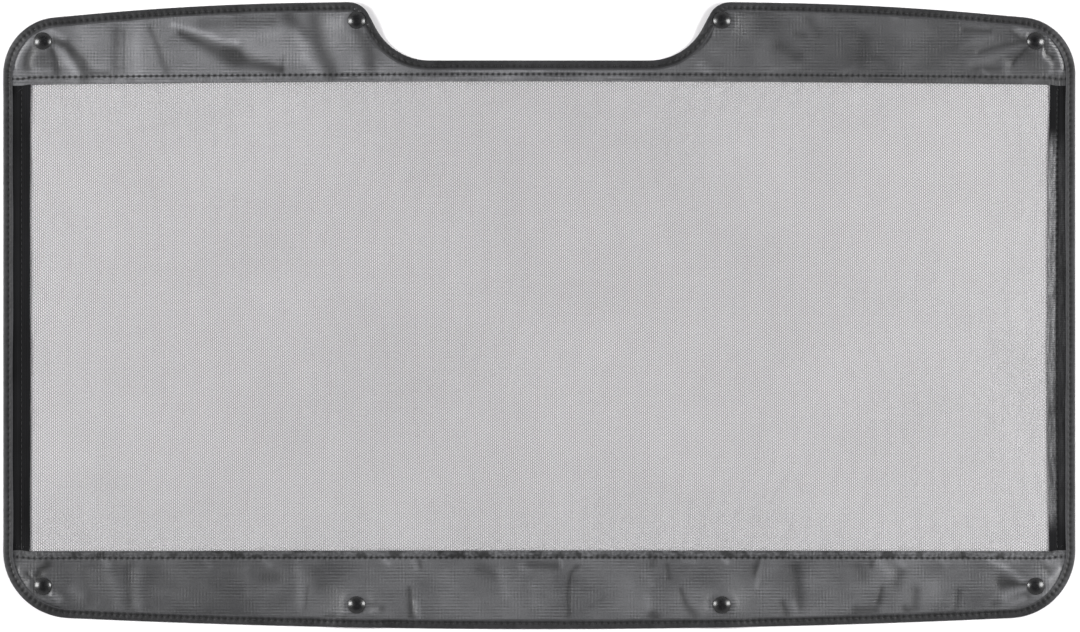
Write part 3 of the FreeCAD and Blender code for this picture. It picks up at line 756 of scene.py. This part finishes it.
def netting():
    """Dark coated net yarn, darker and paler in broad soft patches, with its twist."""
    paint = Paint("net_yarn")
    patches, grain = paint.noise(90, 3, 0.6), paint.noise(0.6)
    tone = patches.span(0.3, 0.7, 0.1, 0.8) + grain.span(0.3, 0.7, -0.2, 0.2)
    colour = paint.blend(tone, (0.070, 0.069, 0.075), (0.125, 0.122, 0.130))
    twist = paint.wave(paint.x + paint.y, 0.55)
    return paint.finish(Base_Color=colour, Roughness=0.48, Normal=paint.bump(twist, 0.03),
                        Specular_IOR_Level=0.4)


def webbing():
    """Black ribbed webbing, rubbed pale in places, with painted sheen in the same places."""
    paint = Paint("webbing")
    weft = paint.wave(paint.y, 0.9, paint.noise(5) * 2.0)
    patches = paint.noise(30, 3, 0.6, (1.0, 0.25, 1.0))
    grain = paint.noise(0.5)
    tone = patches.span(0.3, 0.7, 0.0, 0.75) + weft * 0.16
    colour = paint.blend(tone, (0.0025, 0.0025, 0.0028), (0.011, 0.011, 0.0122))
    frayed = paint.noise(1.3, 3, 0.7).span(0.36, 0.62, 0.35, 1.15)
    streaks = paint.noise(6, 3, 0.6, (2.6, 0.4, 1.0)).span(0.34, 0.62, 0.4, 1.1)
    picks = paint.wave(paint.y, 1.9) * 0.2 + 0.85
    # The 'rubbed' attribute is rubbed wear and painted sheen together: a pale grey laid over the black.
    rubbed = paint.attribute("rubbed") * (streaks * frayed)
    colour = paint.blend(rubbed * picks, colour, (0.27, 0.27, 0.278))
    # Painted shade in the seam's needle holes.
    colour = paint.blend(paint.attribute("shade").span(0, 1, 1.0, 0.1), (0.002, 0.002, 0.002), colour)
    return paint.finish(Base_Color=colour, Roughness=grain.span(0.3, 0.7, 0.55, 0.7),
                        Normal=paint.bump(weft * 0.5 + grain, 0.05), Specular_IOR_Level=0.08)


def binding_tape():
    """Folded binding tape with a fine cross weave, paler where it is rubbed, with a painted highlight along
    its raised inner edge and its rounded fold.
    """
    paint = Paint("binding_tape")
    weave = paint.wave(paint.x, 0.8) * paint.wave(paint.y, 0.8)
    patches, grain = paint.noise(24, 3, 0.65), paint.noise(0.7, 3)
    tone = patches.span(0.3, 0.7, 0.0, 0.36) + weave * 0.12 + grain.span(0.3, 0.7, -0.12, 0.12)
    # Painted highlight along the tape's inner edge and fold, with rubbed wear on top.
    tone += paint.attribute("worn") * 0.62
    colour = paint.blend(tone, (0.0058, 0.0058, 0.0065), (0.049, 0.049, 0.052))
    # Painted shade in the seam's needle holes and along its groove.
    colour = paint.blend(paint.attribute("shade").span(0, 0.8, 1.0, 0.0), (0.003, 0.003, 0.003), colour)
    return paint.finish(Base_Color=colour, Roughness=grain.span(0.3, 0.7, 0.42, 0.58),
                        Normal=paint.bump(weave * 0.6 + grain, 0.05), Specular_IOR_Level=0.32)


def sewing_thread():
    """Black twisted sewing thread, with painted shade where it dives into its holes."""
    paint = Paint("sewing_thread")
    twist = paint.wave(paint.x + paint.y + paint.z, 0.45)
    fuzz = paint.noise(0.25)
    colour = paint.blend(twist * 0.35 + fuzz, (0.014, 0.014, 0.015), (0.050, 0.050, 0.053))
    colour = paint.blend(paint.attribute("shade"), colour, (0.002, 0.002, 0.002))
    return paint.finish(Base_Color=colour, Roughness=0.55, Normal=paint.bump(twist * 0.7 + fuzz, 0.05),
                        Specular_IOR_Level=0.25)


def cap_enamel():
    """Glossy black enamel with fine rubs."""
    paint = Paint("snap_cap_enamel")
    smear = paint.noise(3.0, 4, 0.65)
    rubs = paint.noise(0.35, 2, 0.5, (1.0, 4.0, 1.0))
    colour = paint.blend(smear.span(0.35, 0.7), (0.005, 0.005, 0.0055), (0.011, 0.011, 0.012))
    rough = smear.span(0.3, 0.75, 0.22, 0.32) + rubs.span(0.55, 0.8, 0.0, 0.08)
    return paint.finish(Base_Color=colour, Roughness=rough, Normal=paint.bump(smear + rubs * 0.1, 0.02))


def socket_enamel():
    """Black stove enamel over brass, rubbed through round the mouth."""
    paint = Paint("snap_socket_enamel")
    smear, rubs = paint.noise(2.2, 4, 0.65), paint.noise(0.5, 3, 0.6)
    mouth = paint.z.span(0.0009, 0.0001)
    bare = (mouth * 0.42 + rubs).span(0.78, 0.92)
    colour = paint.blend(smear.span(0.35, 0.7), (0.010, 0.010, 0.011), (0.022, 0.022, 0.024))
    colour = paint.blend(bare, colour, (0.36, 0.29, 0.17))
    return paint.finish(Base_Color=colour, Roughness=smear.span(0.3, 0.75, 0.26, 0.4),
                        Normal=paint.bump(smear, 0.02), Coat_Weight=0.2, Metallic=bare)


def spring_steel():
    """Drawn spring wire."""
    paint = Paint("spring_wire")
    lines, dull = paint.noise(0.2, 3, 0.6, (1.0, 1.0, 6.0)), paint.noise(1.5, 3, 0.6)
    colour = paint.blend(dull.span(0.35, 0.7), (0.46, 0.46, 0.45), (0.62, 0.61, 0.58))
    return paint.finish(Base_Color=colour, Roughness=lines.span(0.3, 0.7, 0.24, 0.42),
                        Normal=paint.bump(lines, 0.01), Metallic=1.0)


CLOTH_LOOK, NET_LOOK, STRIP_LOOK = coated_cloth(), netting(), webbing()
TAPE_LOOK, THREAD_LOOK = binding_tape(), sewing_thread()


# ---------------------------------------- cloth pieces

def stands_for(thing, node):
    """Lets a piece ride on the screen in place of its plain CAD solid."""
    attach(thing, "root")
    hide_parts(node)
    return thing


# Places of a band's rows, in mm from its hem edge: close together round the seam, then even. The
# turned-under cloth has rows of its own, and a fold of a few more joins them to the face.
NEAR_ROWS = [0.25, 0.9, 1.8, 2.8, 3.8, 4.6, 5.2, 5.7, 6.2, 6.7, 7.2, 7.8, 8.6, 9.6, 10.8, 12.0, 13.0, 14.2]
FAR_ROWS = 24
TURNED_ROWS = [HEM_TURN, 10.5, 9.0, 8.0, 7.2, 6.7, 6.2, 5.7, 5.2, 4.2, 3.0, 1.6, 0.25]
HEM_FOLD = np.radians([-60, -30, 0, 30, 60])
FACE_PULL, BACK_PULL = 0.19, 0.1


class Band:
    """The grid of the top or the bottom band, from its hem edge to the outline."""

    def __init__(self, edge, column_step):
        self.edge, self.top = edge, edge == "top"
        self.sign = 1 if self.top else -1
        self.columns = np.arange(-BAND_END, BAND_END + 0.01, column_step)
        self.hem = top_hem(self.columns) if self.top else bottom_hem(self.columns)
        self.y = self.rows()
        self.x = np.broadcast_to(self.columns, self.y.shape).copy()
        self.kept = open_barrel_holes(self.x, self.y)
        self.depth = self.sign * (self.y - self.hem)

    def rows(self):
        """Levels of the rows at each column."""
        room = self.sign * (outline_level(self.columns, CUT_INSET, self.top) - self.hem)
        near = np.minimum(np.array(NEAR_ROWS)[:, None], room * 0.8)
        far = near[-1] + np.linspace(0, 1, FAR_ROWS + 1)[1:, None] * (room - near[-1])
        return self.hem + self.sign * np.concatenate([near, far])

    def piece(self, layer, middle, kept, values):
        """Makes the band's face or back cloth from its middle points."""
        if not self.top:
            middle, kept = middle[::-1], kept[::-1]
            values = {title: numbers[::-1] for title, numbers in values.items()}
        name = f"{self.edge}_band_{layer}"
        thing = thick_sheet(name + "_cloth", middle, CLOTH * 0.9, CLOTH_LOOK, kept, **values)
        return stands_for(thing, name)


def turned_hem(band, face_level):
    """Rows of the cloth turned under along a hem, up to the face's first row, and their holes."""
    turn = np.array(TURNED_ROWS)[:, None]
    y = band.hem + band.sign * turn
    x = np.broadcast_to(band.columns, y.shape)
    pull, hole = seam(turn - HEM_STITCH, x, STITCH, FACE_PULL)
    z = layers(x, y)[OVER_NET] + CLOTH / 2 + 0.01 + 1.02 * pull
    middle, half = (face_level + z[-1]) / 2, (face_level - z[-1]) / 2
    fold = HEM_FOLD[:, None]
    fold_y = band.hem + band.sign * (0.25 - half * np.cos(fold))
    fold_x = np.broadcast_to(band.columns, fold_y.shape)
    fold_z = middle + half * np.sin(fold)
    points = np.concatenate([np.stack([x, y, z], -1), np.stack([fold_x, fold_y, fold_z], -1)])
    return points, np.concatenate([hole, np.zeros(fold_y.shape)])


def face_cloth(edge):
    """Face cloth of a band, folded under along its hem and sewn through."""
    band = Band(edge, STITCH / 4)
    pull, hole = seam(band.depth - HEM_STITCH, band.x, STITCH, FACE_PULL)
    z = layers(band.x, band.y)[OVER_FACE] - CLOTH / 2 + pull
    turned, turned_hole = turned_hem(band, z[0])
    seen = np.abs(band.columns) < STRIP_EDGE
    kept = np.tile(seen[:-1] & seen[1:], (len(turned), 1))
    hem_wear = (0.3 if band.top else 1.0) * (1 - smooth(HEM_STITCH - 0.8, HEM_STITCH + 0.2, band.depth))
    plain = np.zeros(turned_hole.shape)
    # The face cloth's 'tone' is its painted sheen and shade; the turned-under cloth keeps a plain tone.
    values = {"shade": np.concatenate([turned_hole, hole]),
              "tone": np.concatenate([plain + 0.9, cloth_painted_sheen_and_shade(band.x, band.y)]),
              "hem": np.concatenate([plain, hem_wear])}
    middle = np.concatenate([turned, np.stack([band.x, band.y, z], -1)])
    return band.piece("face", middle, np.concatenate([kept, band.kept]), values)


def back_cloth(edge):
    """Back cloth of a band, sewn through by the same seam."""
    band = Band(edge, STITCH / 2)
    pull, hole = seam(band.depth - HEM_STITCH, band.x, STITCH, BACK_PULL)
    z = layers(band.x, band.y)[UNDER] + CLOTH / 2 - 0.6 * pull
    values = {"shade": hole, "tone": 0.8 + 0.1 * np.sin(band.x / 23.0), "hem": np.zeros(z.shape)}
    return band.piece("back", np.stack([band.x, band.y, z], -1), band.kept, values)


def strip_wear_and_sheen(x, y, hole):
    """How rubbed the right webbing is, and how much painted sheen it gets: most along its inner edge, in a
    long pale zone.
    """
    inner = 1 - smooth(STRIP_STITCH - 0.9, STRIP_STITCH + 0.1, x)
    along = smooth(165, 140, y) * (0.62 + 0.38 * smooth(-75, -20, y)) * smooth(-192, -168, y)
    patchy = 0.85 + 0.2 * np.sin(y / 17.0 + 2.0) * np.sin(x * 1.3 + y / 29.0)
    return np.clip(patchy * along * (inner + 0.12 * (1 - inner)) * (1 - hole), 0, 1)


def side_webbing(side):
    """Ribbed webbing down one side, with its seam."""
    right = side == "right"
    sign = 1 if right else -1
    ribs, rows = 14, 171
    across = np.linspace(0, 1, ribs * 5 + 1)
    x, y = np.meshgrid(STRIP_EDGE + across * (BAND_END - STRIP_EDGE),
                       np.linspace(MESH_LOW + 0.4, MESH_HIGH - 0.4, rows))
    ridge = 0.12 * np.abs(np.sin(math.pi * across * ribs)) ** 0.6
    wander = 0.25 * np.sin(y / 47.0) + 0.12 * np.sin(y / 13.0 + 1.0)
    if right:
        wander = wander + 1.2 * smooth(60, 215, np.abs(y)) + 1.2 * smooth(140, 205, y) - 0.6
    pull, hole = seam(x - STRIP_STITCH, y, STITCH, 0.16)
    z = layers(sign * x, y)[OVER_NET] + CLOTH / 2 + ridge - 0.06 + pull
    middle = np.stack([sign * (x + wander * (1 - across)), y, z], -1)
    # Painted shade in the seam's holes; on the right strip, rubbed wear with painted sheen.
    values = {"shade": hole, "rubbed": strip_wear_and_sheen(x, y, hole) if right else np.zeros(x.shape)}
    if not right:
        middle = middle[:, ::-1]
        values = {title: numbers[:, ::-1] for title, numbers in values.items()}
    thing = thick_sheet(side + "_side_webbing", middle, CLOTH * 0.8, STRIP_LOOK, None, **values)
    return stands_for(thing, side + "_side_strip")


# ---------------------------------------- the mesh

def drift(x, y):
    """Slight unevenness of the net, in the plane."""
    dx = 0.45 * np.sin(x / 71.0 + y / 53.0) + 0.3 * np.sin(y / 29.0 - x / 97.0 + 1.0)
    dy = 0.45 * np.sin(x / 61.0 - y / 83.0 + 2.0) + 0.3 * np.sin(x / 33.0 + y / 77.0)
    return dx, dy


def inside_net(x, y):
    """True where the net reaches: under the hems and out to the fold of the binding."""
    corner_x, corner_y = bottom_corner()
    rounded = (np.abs(x) > corner_x) & (y < corner_y)
    near = np.hypot(np.abs(x) - corner_x, y - corner_y) < BOTTOM_CORNER - CUT_INSET
    return (np.abs(x) < HALF_WIDTH - CUT_INSET) & (y > MESH_LOW) & (y < MESH_HIGH) & (~rounded | near)


def yarn_line(angle, offset):
    """Points along one yarn of the net, or None where it misses."""
    way = np.array([math.cos(angle), math.sin(angle)])
    start = offset * np.array([-way[1], way[0]])
    reach = math.hypot(HALF_WIDTH, HALF_HEIGHT)
    t = np.arange(-reach, reach, 1.0)
    found = np.nonzero(inside_net(start[0] + t * way[0], start[1] + t * way[1]))[0]
    if len(found) < 4:
        return None
    first, last = t[found[0]], t[found[-1]]
    spots = np.linspace(first, last, max(2, int(round((last - first) / NET_STEP)) + 1))
    return start + spots[:, None] * way


def net_yarns():
    """Every yarn of the net: its points, direction, radius and height above the middle.

    The net is knitted: straight wales, joined by two families of thin crossing yarns.
    """
    yarns = []
    for angle, pitch, radius, rise in ((NET_ANGLE, NET_PITCH, INLAY_RADIUS, 0.07),
                                       (-NET_ANGLE, NET_PITCH, INLAY_RADIUS, -0.07),
                                       (math.pi / 2, WALE_PITCH, WALE_RADIUS, 0.0)):
        reach = HALF_WIDTH * abs(math.sin(angle)) + HALF_HEIGHT * math.cos(angle)
        for number in range(-int(reach / pitch) - 1, int(reach / pitch) + 1):
            line = yarn_line(angle, (number + 0.5) * pitch)
            if line is not None:
                yarns.append((line, angle, radius, rise))
    return yarns


def yarn_tubes(centre, side, radius, sizes):
    """Three-sided tubes round rows of centre points, and which points have a next one in their row."""
    up = np.array([0, 0, 0.75])
    corners = []
    for turn in np.radians([90, 210, 330]):
        corners.append(centre + radius[:, None] * (math.cos(turn) * side + math.sin(turn) * up))
    points = np.stack(corners, 1).reshape(-1, 3)
    ends = np.cumsum(sizes) - 1
    starts = np.append(0, ends[:-1] + 1)
    followed = np.setdiff1d(np.arange(len(centre)), ends)
    faces = []
    for a, b in ((0, 1), (1, 2), (2, 0)):
        faces.append(np.stack([followed * 3 + a, followed * 3 + b, followed * 3 + 3 + b,
                               followed * 3 + 3 + a], 1))
    faces = np.concatenate(faces).tolist()
    faces += [(3 * s + 2, 3 * s + 1, 3 * s) for s in starts] + [(3 * e, 3 * e + 1, 3 * e + 2) for e in ends]
    return points, faces, followed


def net():
    """The knitted net, and the area in square millimetres that its yarns cover."""
    yarns = net_yarns()
    sizes = [len(line) for line, *_ in yarns]
    angle, radius, rise = (np.repeat([yarn[k] for yarn in yarns], sizes) for k in (1, 2, 3))
    x, y = np.concatenate([line for line, *_ in yarns]).T
    dx, dy = drift(x, y)
    x, y = x + dx, y + dy
    levels = layers(x, y)
    low, high = levels[OVER_BACK], levels[OVER_NET]
    z = np.where(high - low > 0.1, (low + high) / 2, low + CLOTH / 2) + rise
    centre = np.stack([x, y, z], -1)
    side = np.stack([-np.sin(angle), np.cos(angle), np.zeros(len(x))], -1)
    points, faces, followed = yarn_tubes(centre, side, radius, sizes)
    thing = add_object("mesh_panel_net", points, faces, NET_LOOK)
    thing.data.polygons.foreach_set("use_smooth", np.zeros(len(thing.data.polygons), bool))
    length = np.linalg.norm(centre[followed + 1] - centre[followed], axis=1)
    return stands_for(thing, "mesh_panel"), (length * 2 * radius[followed]).sum()


# ---------------------------------------- the binding

# Depths of the tape's rows inside the outline: on its outer side from the tape's edge to the fold,
# and on its inner side.
OUTER_ROWS = [BINDING_WIDTH, 7.9, 7.0, 6.1, 5.5, 5.0, 4.5, 3.8, 2.8, 1.9, 1.2]
INNER_ROWS = [BINDING_WIDTH - 0.05, 5.0, 2.0]
FOLD_DEPTH = OUTER_ROWS[-1]
BINDING_FOLD = np.radians([62, 38, 14, -14, -38, -62])


def bridged(level, reach=6):
    """Levels along the edge as a tape takes them: it spans steps instead of following them."""
    wide = np.concatenate([level[-2 * reach:], level, level[:2 * reach]])
    shifts = np.arange(-reach, reach + 1)
    highest = np.max([wide[reach + i:len(wide) - reach + i] for i in shifts], axis=0)
    weights = np.exp(-(shifts / 3.2) ** 2)
    return np.convolve(highest, weights / weights.sum(), "valid")


class Tape:
    """The binding's rows of points, each one round the whole edge."""

    def __init__(self):
        self.count = int(round(ROUND / (BINDING_PITCH / 5)))
        self.run = np.arange(self.count) * ROUND / self.count
        self.point, self.normal = edge_at(self.run)
        self.wander = 0.25 * np.sin(self.run / 41.0) + 0.15 * np.sin(self.run / 13.7)
        x = self.point[:, 0]
        self.rubbed = 0.22 * smooth(440, 462, x) + 0.15 * smooth(440, 462, -x)
        self.rubbed += 0.08 * np.sin(self.run / 37.0)
        self.rows, self.shade, self.worn = [], [], []

    def under_and_over(self, depth):
        """Levels of the cloth's back and face along a row, and the tape's thickness there."""
        x, y = (self.point + max(depth, FOLD_DEPTH) * self.normal).T
        levels = layers(x, y)
        return levels[UNDER], bridged(levels[OVER_FACE]), leg(x, y)

    def drawn_in(self, depth):
        """How far the seam pulls a row in, and the painted shade of its holes and groove."""
        pitch = ROUND / round(ROUND / BINDING_PITCH)
        return seam(np.full(self.count, depth - BINDING_STITCH), self.run, pitch, 0.26, 0.42)

    def row(self, depth, level, shade, worn):
        """Adds a row, which wanders a little along the tape's two edges."""
        inwards = depth + self.wander * (depth > 7.5)
        spot = self.point + inwards[:, None] * self.normal
        self.rows.append(np.stack([spot[:, 0], spot[:, 1], level], 1))
        self.shade.append(np.broadcast_to(shade, self.count))
        self.worn.append(np.broadcast_to(worn, self.count))

    def outer_side(self, face):
        """Rows of the tape's outer side: over the face, or under the back."""
        for depth in (OUTER_ROWS if face else OUTER_ROWS[::-1]):
            under, over, thick = self.under_and_over(depth)
            pull, hole = self.drawn_in(depth)
            if face:
                crown = 0.16 * math.sin(math.pi * ((BINDING_WIDTH - depth) / BINDING_WIDTH))
                lip = 0.12 * smooth(0.0, 0.7, BINDING_WIDTH - depth)
                level = over + thick * (0.78 + lip) + crown + pull
            else:
                level = under - thick - 0.3 * pull * (depth > 3)
            # Painted highlight on the tape's raised inner edge and near its fold; rubbed wear is added to
            # it.
            worn = 1.0 if depth >= 7.8 else 0.3 if depth < 1.5 else 0.08
            self.row(depth, level, hole, worn + self.rubbed)

    def fold(self):
        """Rows of the rounded fold along the outline, from face to back."""
        under, over, thick = self.under_and_over(FOLD_DEPTH)
        top, bottom = over + thick, under - thick
        middle, half = (top + bottom) / 2, (top - bottom) / 2
        # The rounded fold gets a painted highlight as well, with rubbed wear.
        for turn in BINDING_FOLD:
            self.row(FOLD_DEPTH - FOLD_DEPTH * math.cos(turn), middle + half * math.sin(turn),
                     0.0, 0.25 + self.rubbed)

    def inner_side(self):
        """Rows of the tape's inner side, in along the cloth's back and out along its face."""
        for depth in INNER_ROWS:
            self.row(depth, self.under_and_over(depth)[0] - 0.02, 0.0, 0.0)
        for depth in INNER_ROWS[::-1]:
            pull = self.drawn_in(depth)[0]
            self.row(depth, self.under_and_over(depth)[1] + 0.02 + np.minimum(pull, 0), 0.0, 0.0)

    def piece(self):
        """Joins the rows into one closed tape."""
        count = len(self.rows)
        station, row = np.meshgrid(np.arange(self.count), np.arange(count), indexing="ij")
        following, beyond = (station + 1) % self.count, (row + 1) % count
        faces = np.stack([station * count + row, following * count + row,
                          following * count + beyond, station * count + beyond], -1).reshape(-1, 4)
        points = np.stack(self.rows, 1).reshape(-1, 3)
        thing = add_object("edge_binding_tape", points, faces.tolist(), TAPE_LOOK,
                           shade=np.stack(self.shade, 1), worn=np.stack(self.worn, 1))
        return stands_for(thing, "edge_binding")


def binding():
    """Tape folded round the whole edge, drawn in along its seam."""
    tape = Tape()
    tape.outer_side(face=True)
    tape.fold()
    tape.outer_side(face=False)
    tape.inner_side()
    return tape.piece()


# ---------------------------------------- stitches

# Where each seam's threads lie: at which level, how far off it, and how many legs of tape beyond it.
THREADS = {
    "hem": {"needle": (OVER_FACE, -0.2, 0), "bobbin": (UNDER, 0.05, 0)},
    "strip": {"needle": (OVER_TURN, -0.1, 0), "bobbin": (OVER_BACK, 0.05, 0)},
    "binding": {"needle": (OVER_FACE, -0.18, 1), "bobbin": (UNDER, 0.06, -1)},
}
THREAD_RINGS, THREAD_SIDES = 7, 6


def thread_faces(count):
    """Faces of some capped tubes of thread, one after another."""
    rings, sides = THREAD_RINGS, THREAD_SIDES
    base = (np.arange(count)[:, None, None] * rings + np.arange(rings - 1)[None, :, None]) * sides
    k = np.arange(sides)
    after = (k + 1) % sides
    quads = np.stack([base + k, base + sides + k, base + sides + after, base + after], -1)
    faces = quads.reshape(-1, 4).tolist()
    for first in range(0, count * rings * sides, rings * sides):
        last = first + (rings - 1) * sides
        faces.append(list(range(first, first + sides)))
        faces.append(list(range(last, last + sides))[::-1])
    return faces


def thread_points(centre, cross, radius):
    """Rings of points round rows of centre points that run square to the cross directions."""
    along = np.gradient(centre, axis=1)
    along /= np.linalg.norm(along, axis=-1, keepdims=True)
    side = np.concatenate([cross, np.zeros((len(cross), 1))], 1)[:, None]
    over = np.cross(along, np.broadcast_to(side, along.shape))
    turn = (np.arange(THREAD_SIDES) * 2 * math.pi / THREAD_SIDES)[:, None]
    ring = np.cos(turn) * side[:, :, None] + np.sin(turn) * over[:, :, None]
    return centre[:, :, None] + radius[:, :, None] * ring


def stitch_row(seam_name, run, starts, ends):
    """A row of single stitches that dive into the cloth at both ends."""
    name = f"{seam_name}_{run}_stitches"
    layer, off, legs = THREADS[seam_name.split("_")[-1]][run]
    count = len(starts)
    u = np.linspace(0.0, 1.0, THREAD_RINGS)[None, :, None]
    way = (ends - starts) / np.linalg.norm(ends - starts, axis=1, keepdims=True)
    cross = np.stack([-way[:, 1], way[:, 0]], 1)
    sway = np.random.default_rng(len(name) + count).normal(0, 0.05, (count, 1, 1))
    path = starts[:, None] * (1 - u) + ends[:, None] * u
    path += (sway * np.sin(math.pi * u)) * cross[:, None]
    x, y = path[..., 0], path[..., 1]
    level = layers(x, y)[layer] + legs * leg(x, y) + off
    sunk = 0.95 * (1 - np.sin(math.pi * u[..., 0]) ** 0.6)
    z = level + (1 if run == "needle" else -1) * (THREAD * 0.35 - sunk)
    radius = THREAD * (0.86 + 0.14 * np.sin(math.pi * u))
    points = thread_points(np.concatenate([path, z[..., None]], -1), cross, radius)
    # Painted shade on each stitch's ends, where it dives into the cloth.
    dark = np.broadcast_to(smooth(0.3, 0.12, np.minimum(u, 1 - u)), points.shape[:3])
    thing = add_object(name, points.reshape(-1, 3), thread_faces(count), THREAD_LOOK, shade=dark)
    return stands_for(thing, f"{seam_name}_{run}_thread")


def hem_stitches(edge):
    """Needle and bobbin stitches of a hem."""
    sign, hem = (1, top_hem) if edge == "top" else (-1, bottom_hem)
    reach = int(HEM_REACH / STITCH)
    holes = np.arange(-reach, reach + 1) * STITCH
    line = np.stack([holes, hem(holes) + sign * HEM_STITCH], 1)
    for run in ("needle", "bobbin"):
        stitch_row(edge + "_hem", run, line[:-1], line[1:])


def strip_stitches(side):
    """Needle and bobbin stitches down a side strip."""
    sign = 1 if side == "right" else -1
    first, last = math.ceil((BOTTOM_HEM + 1) / STITCH), math.floor((TOP_HEM - 1) / STITCH)
    holes = np.arange(first, last + 1) * STITCH
    line = np.stack([np.full(len(holes), sign * STRIP_STITCH), holes], 1)
    for run in ("needle", "bobbin"):
        stitch_row(side + "_strip", run, line[:-1], line[1:])


def binding_stitches():
    """Needle and bobbin stitches all round, broken where a snap covers them."""
    count = round(ROUND / BINDING_PITCH)
    point, normal = edge_at(np.arange(count) * ROUND / count)
    start = point + BINDING_STITCH * normal
    end = np.roll(start, -1, axis=0)
    near = snap_distance(*((start + end) / 2).T)
    for run, clear in (("needle", 9.6), ("bobbin", 9.2)):
        stitch_row("binding", run, start[near > clear], end[near > clear])


# ---------------------------------------- everything

def cloth_pieces():
    """Makes every sewn piece."""
    width, net_height = 2 * HALF_WIDTH * MM, (MESH_HIGH - MESH_LOW) * MM
    panel, covered = net()
    ["snap_socket_" + name for name in SNAPS]
    covered * MM * MM
    for edge, hem in (("top", TOP_HEM), ("bottom", BOTTOM_HEM)):
        rests = ["snap_socket_" + name for name in SNAPS if name.startswith(edge)]
        face, back = face_cloth(edge), back_cloth(edge)
        columns = np.linspace(-HALF_WIDTH, HALF_WIDTH, 400)
        reach = np.abs(outline_level(columns, 0.6, edge == "top") - hem)
        deep, strip, turned = reach.max() * MM, reach.mean() * width * MM, HEM_TURN * MM
        deep + turned
        strip + turned * 2 * STRIP_EDGE * MM
        hem_stitches(edge)
    for side in ("left", "right"):
        strip = side_webbing(side)
        (HALF_WIDTH - STRIP_EDGE) * MM
        strip_stitches(side)
    tape = binding()
    ROUND * MM
    binding_stitches()


def dress_snaps():
    """Gives the CAD caps, sockets and springs their finish."""
    looks = {"snap_cap_": cap_enamel(), "snap_socket_": socket_enamel(), "snap_spring_": spring_steel()}
    for name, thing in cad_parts.items():
        for start, look in looks.items():
            if name.startswith(start):
                thing.data.materials.clear()
                thing.data.materials.append(look)


def studio_floor():
    """A wide pale floor just under the level that the sockets stand on."""
    floor = flat_square("studio_floor", 6.0, -0.00005)
    paint = Paint("pale_floor")
    tone = paint.noise(400).span(0.3, 0.7)
    colour = paint.blend(tone, (0.885, 0.872, 0.887), (0.915, 0.902, 0.917))
    floor.data.materials.append(paint.finish(Base_Color=colour, Roughness=0.9, Specular_IOR_Level=0.1))


def soft_light(name, place, target, size, power):
    """One soft light, facing its target."""
    data = bpy.data.lights.new(name, "AREA")
    data.shape = "RECTANGLE"
    data.size, data.size_y = size
    data.energy = power
    light = put(name, data)
    light.location = place
    light.rotation_euler = (Vector(target) - Vector(place)).to_track_quat("-Z", "Y").to_euler()


def sky():
    """A pale sky that is dark straight above, where the cloth would mirror it to the camera."""
    world = bpy.data.worlds.new("studio_sky")
    bpy.context.scene.world = world
    nodes = Nodes(world, "Background")
    up = nodes.add("SeparateXYZ", {0: nodes.add("TexCoord", {}, "Generated")}, "Z")
    nodes.finish(Color=(1.0, 1.0, 1.0, 1.0),
                 Strength=up.span(0.42, 0.88, 0.80, 0.07, interpolation_type="SMOOTHSTEP"))


def lights():
    """Two large soft lights at the sides, under the sky."""
    sky()
    soft_light("left_softbox", (-2.4, 0.1, 1.5), (0.1, 0.05, 0), (1.08, 1.32), 98)
    soft_light("right_softbox", (2.0, 0.1, 1.25), (0.1, 0.0, 0), (0.9, 1.1), 64)


def camera():
    """The photograph's view: straight down, the long side across."""
    data = bpy.data.cameras.new("view_from_above")
    height, seen = 3.0, 0.9475
    data.sensor_width = 36.0
    data.lens = data.sensor_width * height / seen
    view = put("view_from_above", data)
    view.location = (0.00066, -0.0002, height)    # the photograph's middle is just off the screen's
    bpy.context.scene.camera = view


camera()
lights()
studio_floor()
dress_snaps()
cloth_pieces()
bpy.context.scene.view_settings.view_transform = "Standard"
